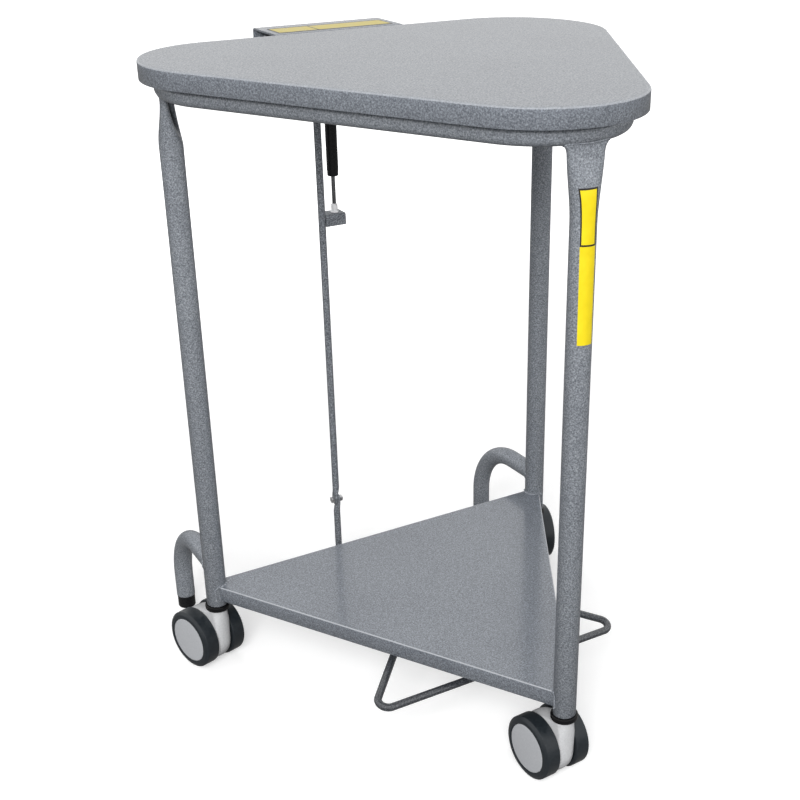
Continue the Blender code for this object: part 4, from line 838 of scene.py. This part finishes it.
# sections of collar, tyre and wheel cover
bore, plug, wide = collarSpec["bore"], collarSpec["plug"], collarSpec["radius"]
collarProfile = roundCorners([(bore, collarSpec["plugTop"]), (plug, collarSpec["plugTop"]), (plug, collarSpec["top"]),
                              (wide, collarSpec["top"]), (wide, collarSpec["low"]), (bore, collarSpec["low"])],
                             [0, 0.001, 0, 0.0022, 0.0050, 0], 10)
inner, outer, rim = casterSpec["inset"], casterSpec["outer"], casterSpec["wheelRadius"]
shoulder = inner + casterSpec["innerRound"] + casterSpec["flat"]
tyreProfile = roundCorners([(casterSpec["bore"], inner + 0.0006), (casterSpec["bore"], outer - 0.0004),
                            (0.0378, outer), (0.0418, outer - 0.0008), (rim, shoulder), (rim, inner),
                            (0.0380, inner)],
                           [0, 0.0004, 0.0008, 0.0014, 0.0016, 0.0020, 0.0006], 6, True)
coverProfile = roundCorners([(0, outer - 0.0001), (0.020, outer - 0.0003), (0.0335, outer - 0.0008),
                             (0.0354, outer - 0.0011), (0.0357, outer - 0.0030), (0.0357, inner + 0.0008),
                             (0.0053, inner + 0.0008), (0.0053, outer - 0.003), (0, outer - 0.003)],
                            [0, 0, 0.004, 0.0006, 0, 0.0008, 0, 0, 0], 6)
for side in sides:
    stem = Matrix.Translation((*legAxis[side], 0))
    turn = stem @ Matrix.Rotation(casterYaw[side], 4, "Z")
    hub = turn @ Vector((casterSpec["trail"], 0, casterSpec["wheelRadius"]))
    along = (turn.to_3x3() @ Vector((0, 1, 0))).normalized()
    addTurned("stemCollar_" + side, collarProfile, collarSpec["around"], stem, glossBlack, "frame",
              "stem_collar_" + side)
    addPiece("casterHousing_" + side, housingMesh("casterHousing_" + side, turn), hoodShell, "caster_" + side,
             ["caster_housing_" + side])
    for letter, sign in (("a", 1), ("b", -1)):
        spin = Matrix.Translation(hub) @ (along * sign).to_track_quat("Z", "Y").to_matrix().to_4x4()
        wheel = side + "_" + letter
        addTurned("tyreBand_" + wheel, tyreProfile, casterSpec["segments"], spin, tyreRubber, "wheel_" + wheel,
                  "tyre_" + wheel, casterSpec["sharp"])
        addTurned("wheelCover_" + wheel, coverProfile, casterSpec["segments"], spin, casterShell, "wheel_" + wheel,
                  "wheel_" + wheel, casterSpec["sharp"])
print("casters done")

# plain label strips

labelSpec = {"channelX": (-0.090, 0.090), "channelY": (rowY + 0.094, rowY + 0.138), "dividerX": -0.028,
             "legZ": (0.6473, 0.8318), "panelZ": 0.7655, "legTurn": (radians(226), radians(299.5)),
             "topTurn": (radians(221), radians(294)), "lift": 0.00022, "line": 0.0022, "longLine": 0.0034,
             "dividerHalf": 0.0012, "sideLine": 0.11, "cells": 12}


def stripMesh(name, grid, inked, colour):
    # thin sheet over a grid of points, with ink on the listed cells
    bm = bmesh.new()
    rows = [[bm.verts.new(p) for p in row] for row in grid]
    for j in range(len(rows) - 1):
        for k in range(len(rows[0]) - 1):
            face = bm.faces.new((rows[j][k], rows[j][k + 1], rows[j + 1][k + 1], rows[j + 1][k]))
            face.material_index = 1 if inked(j, k) else 0
    bm.normal_update()
    mesh = meshFrom(bm, name)
    mesh.materials.append(colour)
    mesh.materials.append(labelInk)
    mesh.shade_smooth()
    return mesh


line, cells, inset = labelSpec["line"], labelSpec["cells"], labelSpec["sideLine"]
(x0, x1), (y0, y1) = labelSpec["channelX"], labelSpec["channelY"]
middle, half, edge = labelSpec["dividerX"], labelSpec["dividerHalf"], labelSpec["longLine"]
xs = [x0, x0 + line, middle - half, middle + half, x1 - line, x1]
ys = [y0, y0 + edge, y1 - edge, y1]
strip = stripMesh("channelLabel", [[(x, y, stand["lidTop"] + labelSpec["lift"]) for x in xs] for y in ys],
                  lambda j, k: j in (0, 2) or k in (0, 2, 4), labelPale)
addPiece("channelLabel", strip, None, "lid")

(low, high), panel = labelSpec["legZ"], labelSpec["panelZ"]
heights = [low + (panel - low) * k / cells for k in range(cells + 1)] + [panel + line]
heights += [panel + line + (high - 2 * line - panel) * k / cells for k in range(1, cells + 1)] + [high]
grid = []
for z in heights:
    spot = legRing("front", z, labelSpec["lift"])
    rise = (z - heights[0]) / (heights[-1] - heights[0])
    start, end = (one + (two - one) * rise for one, two in zip(labelSpec["legTurn"], labelSpec["topTurn"]))
    turns = [start] + [start + inset + (end - start - 2 * inset) * k / cells for k in range(cells + 1)] + [end]
    grid.append([spot(cornerTurn["front"] + pi / 2 - a) for a in turns])
strip = stripMesh("legLabel", grid,    # ink round the upper panel alone
                  lambda j, k: j >= cells and (j in (cells, len(heights) - 2) or k in (0, len(turns) - 2)),
                  labelYellow)
addPiece("legLabel", strip, None, "frame")
print("labels done")

# nodes that keep their own shape

nodeFinish = {"vein_paint": veinPaint, "black_plastic": blackPlastic, "tyre_rubber": tyreRubber,
              "bumper_rubber": bumperRubber, "caster_shell": casterShell, "plated_steel": zincSteel,
              "bright_plating": brightPlate, "nylon": nylon}
for row in frame["record"]["subparts"]:
    node = frame["nodes"][row["node"]]
    node.data.materials.clear()
    node.data.materials.append(nodeFinish[row["material_slot"]])
print("CAD nodes painted")

# floor, light and camera

floorSpec = {"size": 14.0, "cells": 4, "near": 1.2, "far": 3.6, "glow": 0.39, "mirrorGlow": 0.16, "seen": 0.74,
             "bounce": 0.12}


def addSeen(tree):
    # the kinds of ray, and whether one comes straight from the camera
    seen = addNode(tree, "ShaderNodeLightPath", {})
    return seen, addMath(tree, "MAXIMUM", seen["Is Camera Ray"], seen["Is Transmission Ray"])


bm = bmesh.new()
bmesh.ops.create_grid(bm, x_segments=floorSpec["cells"], y_segments=floorSpec["cells"], size=floorSpec["size"])
floor = bpy.data.objects.new("studioFloor", meshFrom(bm, "studioFloor"))
scene.collection.objects.link(floor)
floorPaint, tree, shader = newFinish("floorWhite")
tree.nodes.remove(shader)
seen, straight = addSeen(tree)
mirrored = addMath(tree, "MULTIPLY", seen["Is Glossy Ray"], floorSpec["mirrorGlow"])
coord = addNode(tree, "ShaderNodeTexCoord", {})
reach = addNode(tree, "ShaderNodeVectorMath", {0: coord["Object"]}, operation="LENGTH")
# the lamps' light falls off, so the floor glows more further out
fade = addRange(tree, reach["Value"], floorSpec["near"], floorSpec["far"], floorSpec["glow"], 1.0)
amount = addMath(tree, "MULTIPLY_ADD", straight, fade, mirrored)
# pale to the eye, greyer in the light it throws back
shade = addNode(tree, "ShaderNodeMix", {0: seen["Is Camera Ray"], 2: floorSpec["bounce"], 3: floorSpec["seen"]})
matt = addNode(tree, "ShaderNodeBsdfDiffuse", {"Color": shade[0]})
glow = addNode(tree, "ShaderNodeEmission", {"Strength": amount})
both = addNode(tree, "ShaderNodeAddShader", {0: matt[0], 1: glow[0]})
setInputs(tree, tree.nodes["Material Output"], {"Surface": both[0]})
floor.data.materials.append(floorPaint)

roomSpec = {"lit": (-0.50, -0.80, 0.33), "start": 0.3, "low": 0.10, "high": 1.50}
world = bpy.data.worlds.new("studioWorld")
scene.world = world
world.use_nodes = True
tree = world.node_tree
seen, straight = addSeen(tree)
bright = addMath(tree, "MAXIMUM", straight, seen["Is Glossy Ray"])
coord = addNode(tree, "ShaderNodeTexCoord", {})
facing = addNode(tree, "ShaderNodeVectorMath", {0: coord["Generated"], 1: roomSpec["lit"]}, operation="DOT_PRODUCT")
# brighter in front, on the left and above
room = addRange(tree, facing["Value"], roomSpec["start"], 1.0, roomSpec["low"], roomSpec["high"])
level = addNode(tree, "ShaderNodeMix", {0: bright, 2: room, 3: 1.0})
setInputs(tree, tree.nodes["Background"], {"Strength": level[0], "Color": (1, 1, 1, 1)})

skySpec = {"heading": (0.10, 0.18, -0.98), "power": 0.15, "angle": radians(75)}
lampAim = Vector((0, 0, 0.5))
lampSpec = {"keyLamp": {"place": (-1.9, -2.6, 2.3), "size": 1.8, "power": 122},
            "fillLamp": {"place": (2.9, -0.9, 1.3), "size": 1.2, "power": 34},
            "backLamp": {"place": (-0.2, 3.3, 1.5), "size": 2.0, "power": 40}}


def addLamp(name, kind, power, heading):
    lamp = bpy.data.lights.new(name, kind)
    lamp.energy = power
    holder = bpy.data.objects.new(name, lamp)
    scene.collection.objects.link(holder)
    holder.rotation_euler = heading.to_track_quat("-Z", "Y").to_euler()
    holder.visible_glossy = False    # gloss shows the room, not the lamps
    return holder


addLamp("skyLamp", "SUN", skySpec["power"], Vector(skySpec["heading"])).data.angle = skySpec["angle"]
for name, spec in lampSpec.items():
    holder = addLamp(name, "AREA", spec["power"], lampAim - Vector(spec["place"]))
    holder.location = spec["place"]
    holder.data.shape = "DISK"
    holder.data.size = spec["size"]

cameraSpec = {"place": (-0.8749, rowY - 1.6885, 1.2059), "tilt": 63.126, "pan": -31.637, "lens": 59.76,
              "shift": (-0.08875, 0.1), "sensor": 36}
lens = bpy.data.cameras.new("photoCamera")
lens.sensor_width = cameraSpec["sensor"]
lens.lens = cameraSpec["lens"]
lens.shift_x, lens.shift_y = cameraSpec["shift"]
camera = bpy.data.objects.new("photoCamera", lens)
scene.collection.objects.link(camera)
camera.location = cameraSpec["place"]
camera.rotation_euler = (radians(cameraSpec["tilt"]), 0, radians(cameraSpec["pan"]))
scene.camera = camera
scene.view_settings.view_transform = "Standard"
print("stage set")
